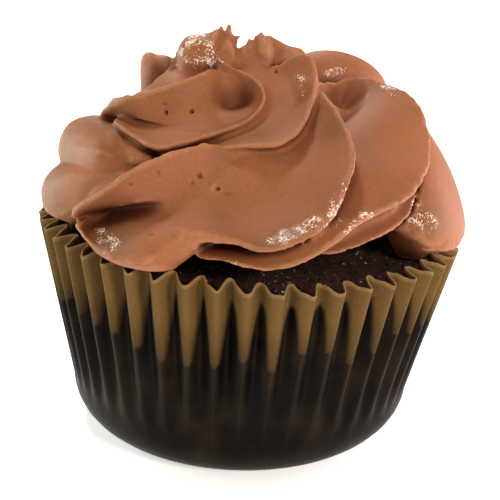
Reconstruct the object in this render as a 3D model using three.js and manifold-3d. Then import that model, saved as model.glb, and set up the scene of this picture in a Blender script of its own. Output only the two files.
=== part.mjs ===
// Chocolate cupcake in a fluted paper case, with a piped swirl of chocolate frosting.
// Millimetres, +Z up. The origin is the centre of the underside of the paper case.
import * as THREE from 'three';
import { mergeVertices } from 'three/addons/utils/BufferGeometryUtils.js';
import Module from 'manifold-3d';

// ---- driving dimensions -------------------------------------------------------------------

// Paper case: a flat round base, a rounded heel and a flaring wall pressed into flutes.
const CASE_RIM_RADIUS = 35;
const CASE_HEIGHT = 34.9;
const CASE_HEEL_RADIUS = 28.9;
const CASE_HEEL_HEIGHT = 8;
const CASE_BASE_RADIUS = 21;
const CASE_WALL = 0.45;
const CASE_FLUTES = 48;
const FLUTE_DEPTH = 3;
const FLUTE_VALLEY_LIFT = 0.8;
const FIRST_FLUTE = -90.1;
const POINTS_PER_FLUTE = 4;
const WALL_LEVELS = [0.33, 0.67, 1];
// Powers of the share of the way up the wall by which a flute deepens and its valley rises.
const FLUTE_GROWTH = 0.8;
const LIFT_GROWTH = 3;
// The rim leans a little to one side, and has moved that way.
const RIM_LEAN = Math.tan(THREE.MathUtils.degToRad(1.9));
const RIM_SHIFT = 1.05;

// Cake: fills the case and domes slightly above its rim.
const CAKE_CLEARANCE = 0.4;
const CAKE_EDGE_HEIGHT = 33.4;
const CAKE_EDGE_ROUND = 2;
const CAKE_EDGE_TAPER = 0.2;
const CAKE_DOME = 2.6;
const CAKE_SEGMENTS = 48;
// Rings of its domed top, as shares of its radius.
const DOME_RINGS = [0.7, 0.35, 0];

// Frosting: a rope piped through an open star tip, wound counter-clockwise in two tiers. Each
// tier has a round core, and the tip's teeth leave ridges that climb over it. A ridge's path
// gives azimuth in degrees, distance from the swirl's axis and height, and so do its foot and
// its head, the valley lines below and above it, where they aren't left to its cross-section.
const FROSTING_CENTRE = 0.8;
const FROSTING_GAP = 0.35;
// Width of the step from the cake's top to the rim, and how far past the rim it is kept clear.
const RIM_STEP = 1;
const CLEAR_REACH = 50;
const LOWER = { radius: 19, height: 41.5, width: 6.8, rise: 6.8 };
const UPPER = { radius: 9, height: 53, width: 7, rise: 3.4 };
const BETWEEN = { radius: 12, height: 49, width: 7, rise: 4.8 };
const CORE_SEGMENTS = 20;
const CORE_SIDES = 8;
const CORE_FLAT = 0.8;
const RIDGE_STEP = 5;
const SMALLEST_DETAIL = 0.1;
const MERGE_DISTANCE = 1e-4;

// Cross-section of a ridge, about the core's centre: angle past the lip in degrees, and the
// share of the lip's distance. The upper face is a broad hollow, and the lower face cuts back
// or, on a slope, runs down. Where the rope is still full, before the next ridge hollows it,
// both faces bulge.
const UPPER_FACE = [[5, 0.945], [12, 0.865], [26, 0.79], [46, 0.75], [66, 0.76]];
const UNDERCUT_FACE = [[3.4, 0.88], [7, 0.78], [10, 0.66]];
const SLOPING_FACE = [[-0.2, 0.93], [-0.6, 0.83], [-1, 0.78]];
const FULL_UPPER_FACE = [[8, 0.985], [14, 0.94], [20, 0.87], [27, 0.77], [40, 0.66]];
const FULL_UNDER_FACE = [[-0.48, 0.97], [-0.92, 0.8], [-1, 0.66]];
const ROOT = 0.4;
// A face laid from a lip to its valley line: faces across it, and how deep it sags as a share
// of its width.
const ACROSS = 4;
const SAG = 0.13;
// Length of path on either side that gives a cross-section its direction.
const EASE = 7;
// Size at its very ends of a ridge that is whole in the middle, and the shares of its length
// over which it opens and closes.
const END_FILL = 0.45;
const START_SHARE = 0.07;
const END_SHARE = 0.12;
// Degrees by which a full lobe swells under its lip.
const BELLY = 16;

const LOWER_RIDGES = [
  { path: [[-144, 32.5, 38.5], [-139.5, 34.3, 41.5], [-129, 33.8, 46], [-121.5, 31.5, 49.8],
    [-114, 27, 52], [-106, 23.5, 52.8], [-98, 21.2, 51.8], [-90, 19.5, 50.8], [-80, 18, 50]],
    depth: 2,
    foot: [[-155, 27.5, 37.2], [-146, 27.5, 38.4], [-138, 28, 39.8], [-129, 28.6, 41.2],
      [-121, 29.2, 42.4], [-113, 29.8, 43.4], [-105, 30.5, 43.6], [-97, 31, 43], [-88, 31, 42],
      [-80, 30, 41.4]] },
  { path: [[-143, 31.5, 39], [-135, 34.2, 38.6], [-128, 34.8, 37.2], [-120, 35.2, 36.6],
    [-113.5, 34.9, 37.3], [-109, 33.7, 39.4], [-102.5, 33.3, 41.8], [-94, 33.7, 41.9],
    [-86, 34.5, 41], [-78.5, 34.5, 42.1], [-71, 34, 45], [-65, 32.2, 49.9], [-60, 29, 52.9],
    [-54, 21.5, 56.7], [-48, 15.5, 58], [-40, 9, 57]], full: 0.5,
    head: [[-153, 27.5, 37.6], [-141, 27.8, 39.6], [-129, 28.4, 41.4], [-118, 28.6, 43],
      [-108, 28, 45], [-100, 24.8, 49], [-94, 21.5, 51.4], [-86, 19.8, 52.4], [-78, 19, 53],
      [-70, 17.3, 54.8], [-62, 15, 56.6], [-55, 12, 58], [-48, 8, 58.5]] },
  { path: [[-118, 31, 37], [-110, 33, 36.9], [-102, 34, 38], [-93, 34.8, 38.6], [-86, 35, 38.8],
    [-76, 35.2, 40], [-61, 34.8, 45.2], [-49, 34.3, 46.8], [-42, 33.5, 48.6], [-27, 30.3, 51],
    [-14, 27.3, 55.5], [-3, 24, 58], [4, 19.5, 59.5], [6, 15, 60.3], [-4, 11.5, 60.2],
    [-30, 8.5, 59], [-60, 7, 57]], slope: 6,
    head: [[-116, 29, 39], [-102, 31, 39.5], [-90, 32.3, 40], [-80, 32.5, 41.5], [-72, 31.5, 44.5],
      [-65, 29, 48], [-58, 25, 51], [-50, 20, 52.6], [-40, 17, 53.2], [-28, 16.5, 53.4],
      [-17, 16, 53.8], [-10, 14, 54.4], [-15, 11, 55], [-40, 8, 55]] },
  { path: [[-78, 31, 38.4], [-68, 32.4, 39.4], [-58, 33, 41], [-47, 32.6, 42.6], [-38, 31, 44],
    [-25, 28, 45]], reach: 0.4, depth: 0.7, blunt: 0.2 },
  { path: [[-40, 30.5, 37], [-33, 33.8, 36.8], [-25, 35.2, 36], [-12, 35.5, 36.4], [0, 34.3, 38.5],
    [8, 33, 41.6], [18, 31.4, 45.5], [30, 28, 50], [44, 22, 53.5], [56, 16, 55]],
    slope: 30, full: 2,
    head: [[-44, 29, 39], [-38, 30.5, 42], [-31, 30, 45], [-22, 28, 49], [-12, 25.5, 52],
      [-2, 22.5, 54.5], [10, 19, 56.3], [24, 15, 57], [40, 11, 57.5]] },
  { path: [[25, 32.5, 38], [38, 33, 42], [48, 31, 47.5], [56, 28, 52], [64, 23, 55], [72, 18, 57],
    [80, 14, 58]] },
  { path: [[-188, 29, 36.4], [-178, 32.5, 36.8], [-168, 33.4, 38.6], [-160, 32.8, 41.2],
    [-152, 31, 44.2], [-143, 28, 46.8], [-132, 23, 49.2], [-120, 18, 51]],
    blunt: 0.2, full: 2, belly: 34 },
  { path: [[-218, 29, 42], [-207, 32, 44], [-197, 32.8, 45.8], [-187, 31.8, 47.4],
    [-177, 29, 49.2], [-166, 24.8, 50.8], [-152, 20, 51.5]], blunt: 0.2, full: 2, belly: 22 },
];
const UPPER_RIDGES = [
  { path: [[-182, 22.5, 50], [-170, 24.5, 51.5], [-159, 25, 53.9], [-149, 23.7, 56.7],
    [-136, 19.5, 59.3], [-126, 13.5, 61.3], [-118, 9, 62.6]], depth: 2,
    foot: [[-184, 21, 49], [-172, 22.6, 50.8], [-160, 22.4, 52.2], [-148, 21.4, 52],
      [-137, 20.9, 52], [-127, 20.4, 52.4], [-116, 19.6, 52.8], [-106, 17.8, 53.4],
      [-101, 13.2, 53.8], [-110, 9, 54]] },
  { path: [[-160, 22.5, 52.2], [-148, 24.8, 53.1], [-137, 24.6, 51.9], [-124, 24.2, 51],
    [-114, 22.3, 52.3], [-104, 19.8, 53.7], [-92, 17, 55.3], [-83, 13, 57.9], [-88, 9.5, 60],
    [-118, 8, 61.3], [-145, 7.5, 63.2]], slope: 14,
    head: [[-162, 21.5, 52.4], [-155, 22.3, 53.2], [-148, 21.8, 52.9], [-137, 21.3, 52.7],
      [-127, 20.8, 53.1], [-116, 19.8, 53.5], [-107, 17.8, 54], [-101, 13.2, 54.4],
      [-106, 9.5, 54.8], [-118, 7.5, 56.5], [-128, 6.6, 59], [-140, 6.2, 62]] },
  { path: [[-116, 19.5, 50.5], [-103, 22, 51.7], [-91, 22.6, 52.5], [-80, 22.6, 52.9],
    [-71, 21.3, 54.7], [-60, 17.6, 58.1], [-50, 14.5, 60.3], [-44, 13, 61.8], [-42, 11, 63.8],
    [-50, 8, 65]], slope: 12,
    head: [[-118, 19, 50.6], [-106, 19.2, 52.2], [-96, 17.2, 53.6], [-88, 14.6, 55.2],
      [-82, 11.8, 57], [-82, 9, 58.6], [-90, 6.6, 60], [-105, 5, 61.3], [-125, 4, 62.5]] },
];
// Ridges that no neighbour disturbs, the same on each tier but for their azimuth.
const EVEN_SLOPE = 14;
const LOWER_EVEN = { azimuths: [-220, -256, -292], full: 0.45,
  path: [[-28, 32.5, 37.5], [-14, 34.6, 39.5], [-3, 34, 44], [6, 31.5, 48], [15, 27, 51.5],
    [26, 22, 53.5], [38, 17, 54.5]] };
const UPPER_EVEN = { azimuths: [52, 94, 136], full: 0.3,
  path: [[-45, 19, 51], [-22, 21.5, 53], [-6, 20.5, 57], [8, 16.5, 60.3], [22, 12, 62.3],
    [38, 8, 63.3]] };

// Lobes where the rope swelled, and on top, where its end was torn off: azimuth, distance from
// the axis and height of the middle, half sizes round the axis, outwards and upwards, how far
// it leans to the right in degrees, and how square it is, from 1 for an ellipsoid to 0 for a box.
const LOBES = [
  { at: [143, 18.2, 54.2], half: [4.6, 4.6, 5.4], lean: -18, square: 0.8 },
  { at: [-168, 9.2, 61], half: [3.4, 3.7, 4.3], lean: 20, square: 0.72 },
  { at: [-150, 4.6, 59.6], half: [2.4, 1.5, 5], lean: 4, square: 0.8 },
  { at: [-140, 2.6, 59.2], half: [2.2, 1.2, 4.8], lean: -3, square: 0.8 },
  { at: [-90, 1.4, 58.8], half: [2.2, 1.3, 4.6], lean: 2, square: 0.8 },
  { at: [-48, 3.2, 60.2], half: [2.4, 2.2, 5], lean: -9, square: 0.8 },
  { at: [-10, 5.6, 59.6], half: [3.4, 3.4, 3.8], lean: -14, square: 0.9 },
  { at: [32, 14.5, 56.8], half: [7, 9, 5.6], lean: 10 },
  { at: [90, 4, 57], half: [9, 7.5, 5.5] },
];
const LOBE_SEGMENTS = 12;

// Colours, as the finished surfaces show them.
const PAPER = { color: 0x7a5c3a, roughness: 0.7, metalness: 0 };
const SPONGE = { color: 0x1c0d07, roughness: 0.6, metalness: 0 };
const BUTTERCREAM = { color: 0xb06a45, roughness: 0.45, metalness: 0 };

// ---- solids -------------------------------------------------------------------------------

const wasm = await Module();
wasm.setup();
const { clamp, degToRad, lerp, radToDeg, smoothstep } = THREE.MathUtils;

// A closed geometry as a manifold solid.
function solid(geometry) {
  geometry.deleteAttribute('normal');
  geometry.deleteAttribute('uv');
  const merged = mergeVertices(geometry, MERGE_DISTANCE);
  return new wasm.Manifold(new wasm.Mesh({
    numProp: 3,
    vertProperties: new Float32Array(merged.attributes.position.array),
    triVerts: new Uint32Array(merged.index.array),
  }));
}

// A manifold solid as a named mesh.
function piece(name, body, look) {
  const { vertProperties, triVerts, numProp } = body.getMesh();
  const points = [];
  for (let i = 0; i < vertProperties.length; i += numProp) {
    points.push(vertProperties[i], vertProperties[i + 1], vertProperties[i + 2]);
  }
  const geometry = new THREE.BufferGeometry();
  geometry.setAttribute('position', new THREE.Float32BufferAttribute(points, 3));
  geometry.setIndex([...triVerts]);
  geometry.computeVertexNormals();
  const mesh = new THREE.Mesh(geometry, new THREE.MeshStandardMaterial(look));
  mesh.name = name;
  return mesh;
}

// A closed body turned about Z from a profile of [radius, height] that meets the axis.
function turned(profile, segments) {
  const points = profile.map(([radius, height]) => new THREE.Vector2(radius, height));
  const geometry = new THREE.LatheGeometry(points, segments);
  geometry.rotateX(Math.PI / 2);
  return geometry;
}

// Moves every vertex of a geometry by a function of its position.
function reshape(geometry, move) {
  const position = geometry.attributes.position;
  const point = new THREE.Vector3();
  for (let i = 0; i < position.count; i += 1) {
    move(point.fromBufferAttribute(position, i));
    position.setXYZ(i, point.x, point.y, point.z);
  }
  return geometry;
}

// The largest closed surface of a body, which fills sealed hollows and drops loose scraps.
function outerBody(body) {
  return body.decompose().reduce((a, b) => (b.volume() > a.volume() ? b : a));
}

// ---- paper case ---------------------------------------------------------------------------

// Share of the way up the fluted wall, from the heel to the rim.
function wallShare(height) {
  return clamp((height - CASE_HEEL_HEIGHT) / (CASE_HEIGHT - CASE_HEEL_HEIGHT), 0, 1);
}

// The case stands square on its base and leans more towards its rim.
function lean(point) {
  const share = point.z / CASE_HEIGHT;
  point.z -= RIM_LEAN * point.x * share;
  point.x += RIM_SHIFT * share;
}

// Presses the flutes into the wall: crests keep their radius and valleys go in and up.
function flute(point) {
  const radius = Math.hypot(point.x, point.y);
  if (radius > 0) {
    const turn = (Math.atan2(point.y, point.x) - degToRad(FIRST_FLUTE)) * CASE_FLUTES;
    const valley = (1 - Math.cos(turn)) / 2;
    const share = wallShare(point.z);
    const depth = FLUTE_DEPTH * valley * share ** FLUTE_GROWTH;
    point.x *= (radius - depth) / radius;
    point.y *= (radius - depth) / radius;
    point.z += FLUTE_VALLEY_LIFT * valley * share ** LIFT_GROWTH;
  }
  lean(point);
}

function heel(thickness, angles) {
  const across = CASE_HEEL_RADIUS - CASE_BASE_RADIUS - thickness;
  const up = CASE_HEEL_HEIGHT - thickness;
  return angles.map((angle) => [
    CASE_BASE_RADIUS + across * Math.sin(degToRad(angle)),
    CASE_HEEL_HEIGHT - up * Math.cos(degToRad(angle)),
  ]);
}

function paperCase() {
  const radiusAt = (share) => lerp(CASE_HEEL_RADIUS, CASE_RIM_RADIUS, share);
  const heightAt = (share) => lerp(CASE_HEEL_HEIGHT, CASE_HEIGHT, share);
  const outside = WALL_LEVELS.map((share) => [radiusAt(share), heightAt(share)]);
  const inside = WALL_LEVELS.map((share) => [radiusAt(share) - CASE_WALL, heightAt(share)]);
  const profile = [
    [0, 0],
    ...heel(0, [0, 30, 60, 90]),
    ...outside,
    ...inside.reverse(),
    ...heel(CASE_WALL, [0, 45, 90]).reverse(),
    [0, CASE_WALL],
  ];
  return solid(reshape(turned(profile, CASE_FLUTES * POINTS_PER_FLUTE), flute));
}

// ---- cake ---------------------------------------------------------------------------------

// Height of the cake's top at a distance from its axis.
function cakeTop(radius, edge) {
  return CAKE_EDGE_HEIGHT + CAKE_DOME * (1 - (radius / edge) ** 2);
}

function cakeEdge() {
  const edge = CASE_RIM_RADIUS - FLUTE_DEPTH;
  return edge - CASE_WALL - CAKE_CLEARANCE;
}

function cake() {
  const inset = CASE_WALL + CAKE_CLEARANCE;
  const edge = cakeEdge();
  const corner = CAKE_EDGE_ROUND;
  const cut = corner * (1 - Math.SQRT1_2);
  const profile = [
    [0, inset],
    ...heel(inset, [0, 45, 90]),
    [edge - CAKE_EDGE_TAPER, CAKE_EDGE_HEIGHT - corner],
    [edge - cut, CAKE_EDGE_HEIGHT - cut],
    [edge - corner, cakeTop(edge - corner, edge)],
    ...DOME_RINGS.map((share) => [edge * share, cakeTop(edge * share, edge)]),
  ];
  return solid(reshape(turned(profile, CAKE_SEGMENTS), lean));
}

// What the frosting may not enter: the cake's top and the case's rim, each raised by the gap,
// and all below them.
function underFrosting() {
  const edge = cakeEdge();
  const overRim = CASE_HEIGHT + FLUTE_VALLEY_LIFT + FROSTING_GAP;
  const profile = [
    [0, 0],
    [CLEAR_REACH, 0],
    [CLEAR_REACH, overRim],
    [edge, overRim],
    [edge - RIM_STEP, cakeTop(edge - RIM_STEP, edge) + FROSTING_GAP],
    ...DOME_RINGS.map((share) => [edge * share, cakeTop(edge * share, edge) + FROSTING_GAP]),
  ];
  return solid(reshape(turned(profile, CAKE_SEGMENTS), lean));
}

// ---- frosting -----------------------------------------------------------------------------

function onSwirl([azimuth, radius, height]) {
  const angle = degToRad(azimuth);
  return new THREE.Vector3(
    FROSTING_CENTRE + radius * Math.cos(angle), radius * Math.sin(angle), height);
}

// Round shoulder from 0 at the end of a ridge to 1 after a share of its length.
function shoulder(share, length) {
  const short = 1 - Math.min(share / length, 1);
  return Math.sqrt(1 - short * short);
}

function curveThrough(path) {
  return new THREE.CatmullRomCurve3(path.map(onSwirl), false, 'centripetal');
}

// The frame of a ridge's cross-section at a share of its path: the lip's direction and distance
// from the core, square to the path, and how full the ridge is there.
function frameAt(tier, curve, share, blunt) {
  const ease = EASE / curve.getLength();
  const lip = curve.getPointAt(share);
  const along = curve.getPointAt(Math.min(share + ease, 1))
    .sub(curve.getPointAt(Math.max(share - ease, 0))).normalize();
  const azimuth = radToDeg(Math.atan2(lip.y, lip.x - FROSTING_CENTRE));
  const out = lip.clone().sub(onSwirl([azimuth, tier.radius, tier.height]));
  const distance = out.length();
  out.addScaledVector(along, -out.dot(along)).normalize();
  const whole = Math.min(shoulder(share, blunt), shoulder(1 - share, END_SHARE));
  return {
    out,
    up: out.clone().cross(along),
    centre: lip.clone().addScaledVector(out, -distance),
    distance,
    fill: END_FILL + (1 - END_FILL) * whole,
  };
}

// A point of a cross-section, from its angle past the lip and its share of the lip's distance.
function inSection({ centre, out, up, distance, fill }, [turn, part]) {
  const length = distance * part * fill;
  return centre.clone()
    .addScaledVector(out, length * Math.cos(degToRad(turn)))
    .addScaledVector(up, length * Math.sin(degToRad(turn)));
}

// A sagging face from the lip to a point of its valley line, and its root in the core. Where
// the ridge is still full, the face swells instead.
function faceTo(valley, { centre, fill }, lip, fullness) {
  const edge = centre.clone().lerp(valley, fill);
  const sag = edge.distanceTo(lip) * SAG * (1 - 2 * fullness);
  const face = [];
  for (let i = 1; i <= ACROSS; i += 1) {
    const share = i / ACROSS;
    const point = lip.clone().lerp(edge, share);
    const inward = centre.clone().sub(point).normalize();
    face.push(point.addScaledVector(inward, sag * 4 * share * (1 - share)));
  }
  face.push(centre.clone().lerp(edge, ROOT));
  return face;
}

// One side of a cross-section, part way between its hollow and its full form, with its root.
function sideOf(frame, hollow, plump, fullness) {
  const face = hollow.map(([turn, part], i) => inSection(frame, [
    lerp(turn, plump[i][0], fullness), lerp(part, plump[i][1], fullness)]));
  const lastTurn = lerp(hollow.at(-1)[0], plump.at(-1)[0], fullness);
  return [...face, inSection(frame, [lastTurn, ROOT])];
}

// One ridge: its cross-section set square to its path all along, and closed at both ends.
function ridge(tier, shape) {
  const { path, reach = 1, depth = 1, blunt = START_SHARE, slope = 0, full = 0 } = shape;
  const { belly = BELLY } = shape;
  const curve = curveThrough(path);
  const foot = shape.foot && curveThrough(shape.foot);
  const head = shape.head && curveThrough(shape.head);
  const sloping = SLOPING_FACE.map(([turn, part]) => [turn * slope, part]);
  const swollen = FULL_UNDER_FACE.map(([turn, part]) => [turn * belly, part]);
  const under = slope > 0 ? sloping : UNDERCUT_FACE;
  const fullUnder = slope > 0 ? sloping : swollen;
  const upper = UPPER_FACE.map(([turn, part]) => [turn * reach, 1 - (1 - part) * depth]);
  const steps = Math.ceil(curve.getLength() / RIDGE_STEP);
  const rings = [];
  for (let step = 0; step <= steps; step += 1) {
    const share = step / steps;
    const frame = frameAt(tier, curve, share, blunt);
    const fullness = full > 0 ? 1 - smoothstep(share, full / 2, full) : 0;
    const lip = inSection(frame, [0, 1]);
    const below = foot ? faceTo(foot.getPointAt(share), frame, lip, 0)
      : sideOf(frame, under, fullUnder, fullness);
    const above = head ? faceTo(head.getPointAt(share), frame, lip, fullness)
      : sideOf(frame, upper, FULL_UPPER_FACE, fullness);
    rings.push([...below.reverse(), lip, ...above]);
  }
  return solid(skin(rings));
}

// A closed skin over rings of points, with a fan over each end.
function skin(rings) {
  const count = rings[0].length;
  const points = rings.flat();
  const faces = [];
  for (let ring = 0; ring < rings.length - 1; ring += 1) {
    for (let i = 0; i < count; i += 1) {
      const a = ring * count + i;
      const b = ring * count + (i + 1) % count;
      faces.push(a, a + count, b, b, a + count, b + count);
    }
  }
  const last = (rings.length - 1) * count;
  for (const [first, ring] of [[0, rings[0]], [last, rings.at(-1)]]) {
    const middle = ring.reduce((sum, point) => sum.add(point), new THREE.Vector3());
    points.push(middle.divideScalar(count));
    for (let i = 0; i < count; i += 1) {
      const a = first + i;
      const b = first + (i + 1) % count;
      faces.push(...(first === 0 ? [a, b, points.length - 1] : [b, a, points.length - 1]));
    }
  }
  return new THREE.BufferGeometry().setFromPoints(points).setIndex(faces);
}

// The round core under a tier's ridges, with its middle filled.
function tierCore({ radius, height, width, rise }) {
  const profile = [[0, height - rise]];
  for (let side = 0; side <= CORE_SIDES; side += 1) {
    const angle = Math.PI * (side / CORE_SIDES - 0.5);
    profile.push([radius + width * Math.cos(angle), height + rise * Math.sin(angle)]);
  }
  profile.push([0, height + rise * CORE_FLAT]);
  return solid(turned(profile, CORE_SEGMENTS).translate(FROSTING_CENTRE, 0, 0));
}

// The even ridges of a tier, one for each azimuth.
function evenRidges({ azimuths, path, full }) {
  return azimuths.map((azimuth) => ({
    path: path.map(([turn, radius, height]) => [azimuth + turn, radius, height]),
    full,
    slope: EVEN_SLOPE,
  }));
}

// A lobe: an ellipsoid, or a squarer body where its three coordinates are drawn outwards.
function lobe({ at, half, lean: tilt = 0, square = 1 }) {
  const [along, out, up] = half;
  const bulge = (value) => Math.sign(value) * Math.abs(value) ** square;
  const geometry = new THREE.SphereGeometry(1, LOBE_SEGMENTS, LOBE_SEGMENTS / 2);
  reshape(geometry, (point) => point.set(bulge(point.x), bulge(point.y), bulge(point.z)));
  geometry.rotateX(Math.PI / 2).scale(out, along, up).rotateZ(degToRad(at[0]));
  geometry.rotateY(degToRad(tilt));
  const middle = onSwirl(at);
  return solid(geometry.translate(middle.x, middle.y, middle.z));
}

function frosting() {
  const bodies = [...[LOWER, UPPER, BETWEEN].map(tierCore), ...LOBES.map(lobe)];
  for (const shape of [...LOWER_RIDGES, ...evenRidges(LOWER_EVEN)]) {
    bodies.push(ridge(LOWER, shape));
  }
  for (const shape of [...UPPER_RIDGES, ...evenRidges(UPPER_EVEN)]) {
    bodies.push(ridge(UPPER, shape));
  }
  const joined = wasm.Manifold.union(bodies).subtract(underFrosting());
  return outerBody(joined.asOriginal().simplify(SMALLEST_DETAIL));
}

// ---- the part -----------------------------------------------------------------------------

const cupcake = new THREE.Group();
cupcake.add(piece('paper_case', paperCase(), PAPER));
cupcake.add(piece('cake', cake(), SPONGE));
cupcake.add(piece('frosting', frosting(), BUTTERCREAM));

export default cupcake;
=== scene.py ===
import math

import bmesh
import bpy
import numpy as np
from bpy.props import FloatProperty, FloatVectorProperty, IntProperty, PointerProperty
from mathutils import Matrix, Vector, noise
from mathutils.bvhtree import BVHTree


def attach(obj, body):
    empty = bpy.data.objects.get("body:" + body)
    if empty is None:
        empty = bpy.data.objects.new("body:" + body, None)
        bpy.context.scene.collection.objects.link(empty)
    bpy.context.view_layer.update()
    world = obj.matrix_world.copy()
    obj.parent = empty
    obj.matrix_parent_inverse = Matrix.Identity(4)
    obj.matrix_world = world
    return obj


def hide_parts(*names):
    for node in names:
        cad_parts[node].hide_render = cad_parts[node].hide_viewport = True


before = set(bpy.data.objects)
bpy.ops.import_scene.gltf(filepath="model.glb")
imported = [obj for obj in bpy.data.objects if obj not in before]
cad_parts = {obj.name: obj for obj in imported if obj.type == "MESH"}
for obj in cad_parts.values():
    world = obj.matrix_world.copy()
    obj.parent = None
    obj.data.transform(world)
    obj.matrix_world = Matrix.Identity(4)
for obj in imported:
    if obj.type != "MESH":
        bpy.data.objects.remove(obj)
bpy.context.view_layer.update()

bl_info = {
    "name": "Frosted Cupcake",
    "version": (1, 0, 0),
    "blender": (4, 5, 0),
    "location": "3D View > Sidebar > Cupcake",
    "description": "A chocolate cupcake in a fluted paper case, under a piped swirl of frosting",
    "category": "Add Mesh",
}

MM = 0.001
# Keeps a division from meeting zero.
TINY = 1e-9

# The swirl's tiers: a ring of rope with its radius, its middle's height, and half its width
# and height, in millimetres. The third one fills the hollow between the two others.
LOWER = {"radius": 19.0, "height": 41.5, "width": 6.8, "rise": 6.8}
UPPER = {"radius": 9.0, "height": 53.0, "width": 7.0, "rise": 3.4}
BETWEEN = {"radius": 12.0, "height": 49.0, "width": 7.0, "rise": 4.8}
# The frosting's ridges. The rope came out of an open star tip and was wound counter-clockwise
# in two tiers, so each tooth of the tip left a ridge that climbs over its tier. A path gives
# azimuth in degrees, distance from the swirl's axis and height, both in millimetres.
# "slope" is how far in degrees the face under the lip runs down, and 0 is an undercut one.
# The other values are those of ridge_mesh.
LOWER_RIDGES = [
    {"path": [(-144, 32.5, 38.5), (-139.5, 34.3, 41.5), (-129, 33.8, 46), (-121.5, 31.5, 49.8),
              (-114, 27, 52), (-106, 23.5, 52.8), (-98, 21.2, 51.8), (-90, 19.5, 50.8),
              (-80, 18, 50)], "depth": 2.0,
     "foot": [(-155, 27.5, 37.2), (-146, 27.5, 38.4), (-138, 28, 39.8), (-129, 28.6, 41.2),
              (-121, 29.2, 42.4), (-113, 29.8, 43.4), (-105, 30.5, 43.6), (-97, 31, 43),
              (-88, 31, 42), (-80, 30, 41.4)]},
    {"path": [(-145, 30.8, 39.8), (-140, 32.8, 39.9), (-134, 34.2, 39), (-127, 34.8, 37.5),
              (-120, 35.2, 36.6), (-113.5, 34.9, 37.3), (-109, 33.7, 39.4),
              (-102.5, 33.3, 41.8), (-94, 33.7, 41.9), (-86, 34.5, 41), (-78.5, 34.5, 42.1),
              (-71, 34, 45), (-65, 32.2, 49.9), (-60, 29, 52.9), (-54, 21.5, 56.7),
              (-47, 15.5, 58.4), (-36, 10, 59), (-20, 4, 58)],
     "full": 0.5, "puff": 2.2,
     "head": [(-153, 27.5, 37.6), (-141, 27.8, 39.6), (-129, 28.4, 41.4), (-118, 28.6, 43),
              (-108, 28, 45), (-100, 24.8, 49), (-94, 21.5, 51.4), (-86, 19.8, 52.4),
              (-78, 19, 53), (-70, 17.3, 54.8), (-62, 15, 56.6), (-55, 12, 58),
              (-48, 8, 58.5)]},
    {"path": [(-107, 31, 36.8), (-104.5, 32.6, 37.6), (-101, 33.6, 38.8), (-96, 34.2, 39.1),
              (-90, 34.8, 38.6), (-84, 35.1, 38.4), (-76, 35.2, 40), (-61, 34.8, 45.2),
              (-49, 34.3, 46.8), (-42, 33.5, 48.6), (-27, 30.3, 51), (-14, 27.3, 55.3),
              (-3, 24, 57.4), (4, 19.5, 58.5), (6, 15, 59.1), (-4, 11.5, 59), (-30, 8.5, 58),
              (-60, 7, 56)], "slope": 6, "sag": -0.07,
     "head": [(-107, 29.6, 39), (-100, 31, 39.5), (-90, 32.3, 40), (-80, 32.5, 41.5),
              (-72, 31.5, 44.5), (-65, 29, 48), (-58, 25, 51), (-50, 20, 52.6),
              (-40, 17, 53.2), (-28, 16.5, 53.4), (-17, 16, 53.8), (-10, 14, 54.4),
              (-15, 11, 55), (-40, 8, 55)]},
    {"path": [(-78, 31, 38.4), (-68, 32.4, 39.4), (-58, 33, 41), (-47, 32.6, 42.6),
              (-38, 31, 44), (-25, 28, 45)], "reach": 0.4, "depth": 0.7, "blunt": 0.2},
    {"path": [(-40, 30.5, 37), (-33, 33.8, 36.8), (-25, 35.2, 36), (-12, 35.5, 36.4),
              (0, 34.3, 38.5), (8, 33, 41.6), (18, 31.4, 45.5), (30, 28, 50),
              (44, 22, 53.5), (56, 16, 55)], "full": 2, "slope": 30,
     "head": [(-44, 29, 39), (-38, 30.5, 42), (-31, 30, 45), (-22, 28, 49), (-12, 25.5, 52),
              (-2, 22.5, 54.5), (10, 19, 56.3), (24, 15, 57), (40, 11, 57.5)]},
    {"path": [(25, 32.5, 38), (38, 33, 42), (48, 31, 47.5), (56, 28, 52),
              (64, 23, 55), (72, 18, 57), (80, 14, 58)]},
    {"path": [(-188, 29, 36.4), (-178, 33.4, 36.8), (-168, 34.2, 38.6), (-160, 33.2, 41.2),
              (-152, 31.5, 43.6), (-144, 29.4, 45), (-135, 26.5, 46), (-124, 22, 47)],
     "full": 2, "belly": 34, "blunt": 0.2},
    {"path": [(-218, 29, 42), (-207, 32, 44), (-197, 32.8, 45.8), (-187, 31.8, 47.4),
              (-177, 30, 49.2), (-167, 28.4, 50.6), (-157, 27.2, 51.4), (-147, 26, 51.7),
              (-136, 24, 51.2)], "full": 2, "belly": 32, "blunt": 0.2},
]
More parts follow.
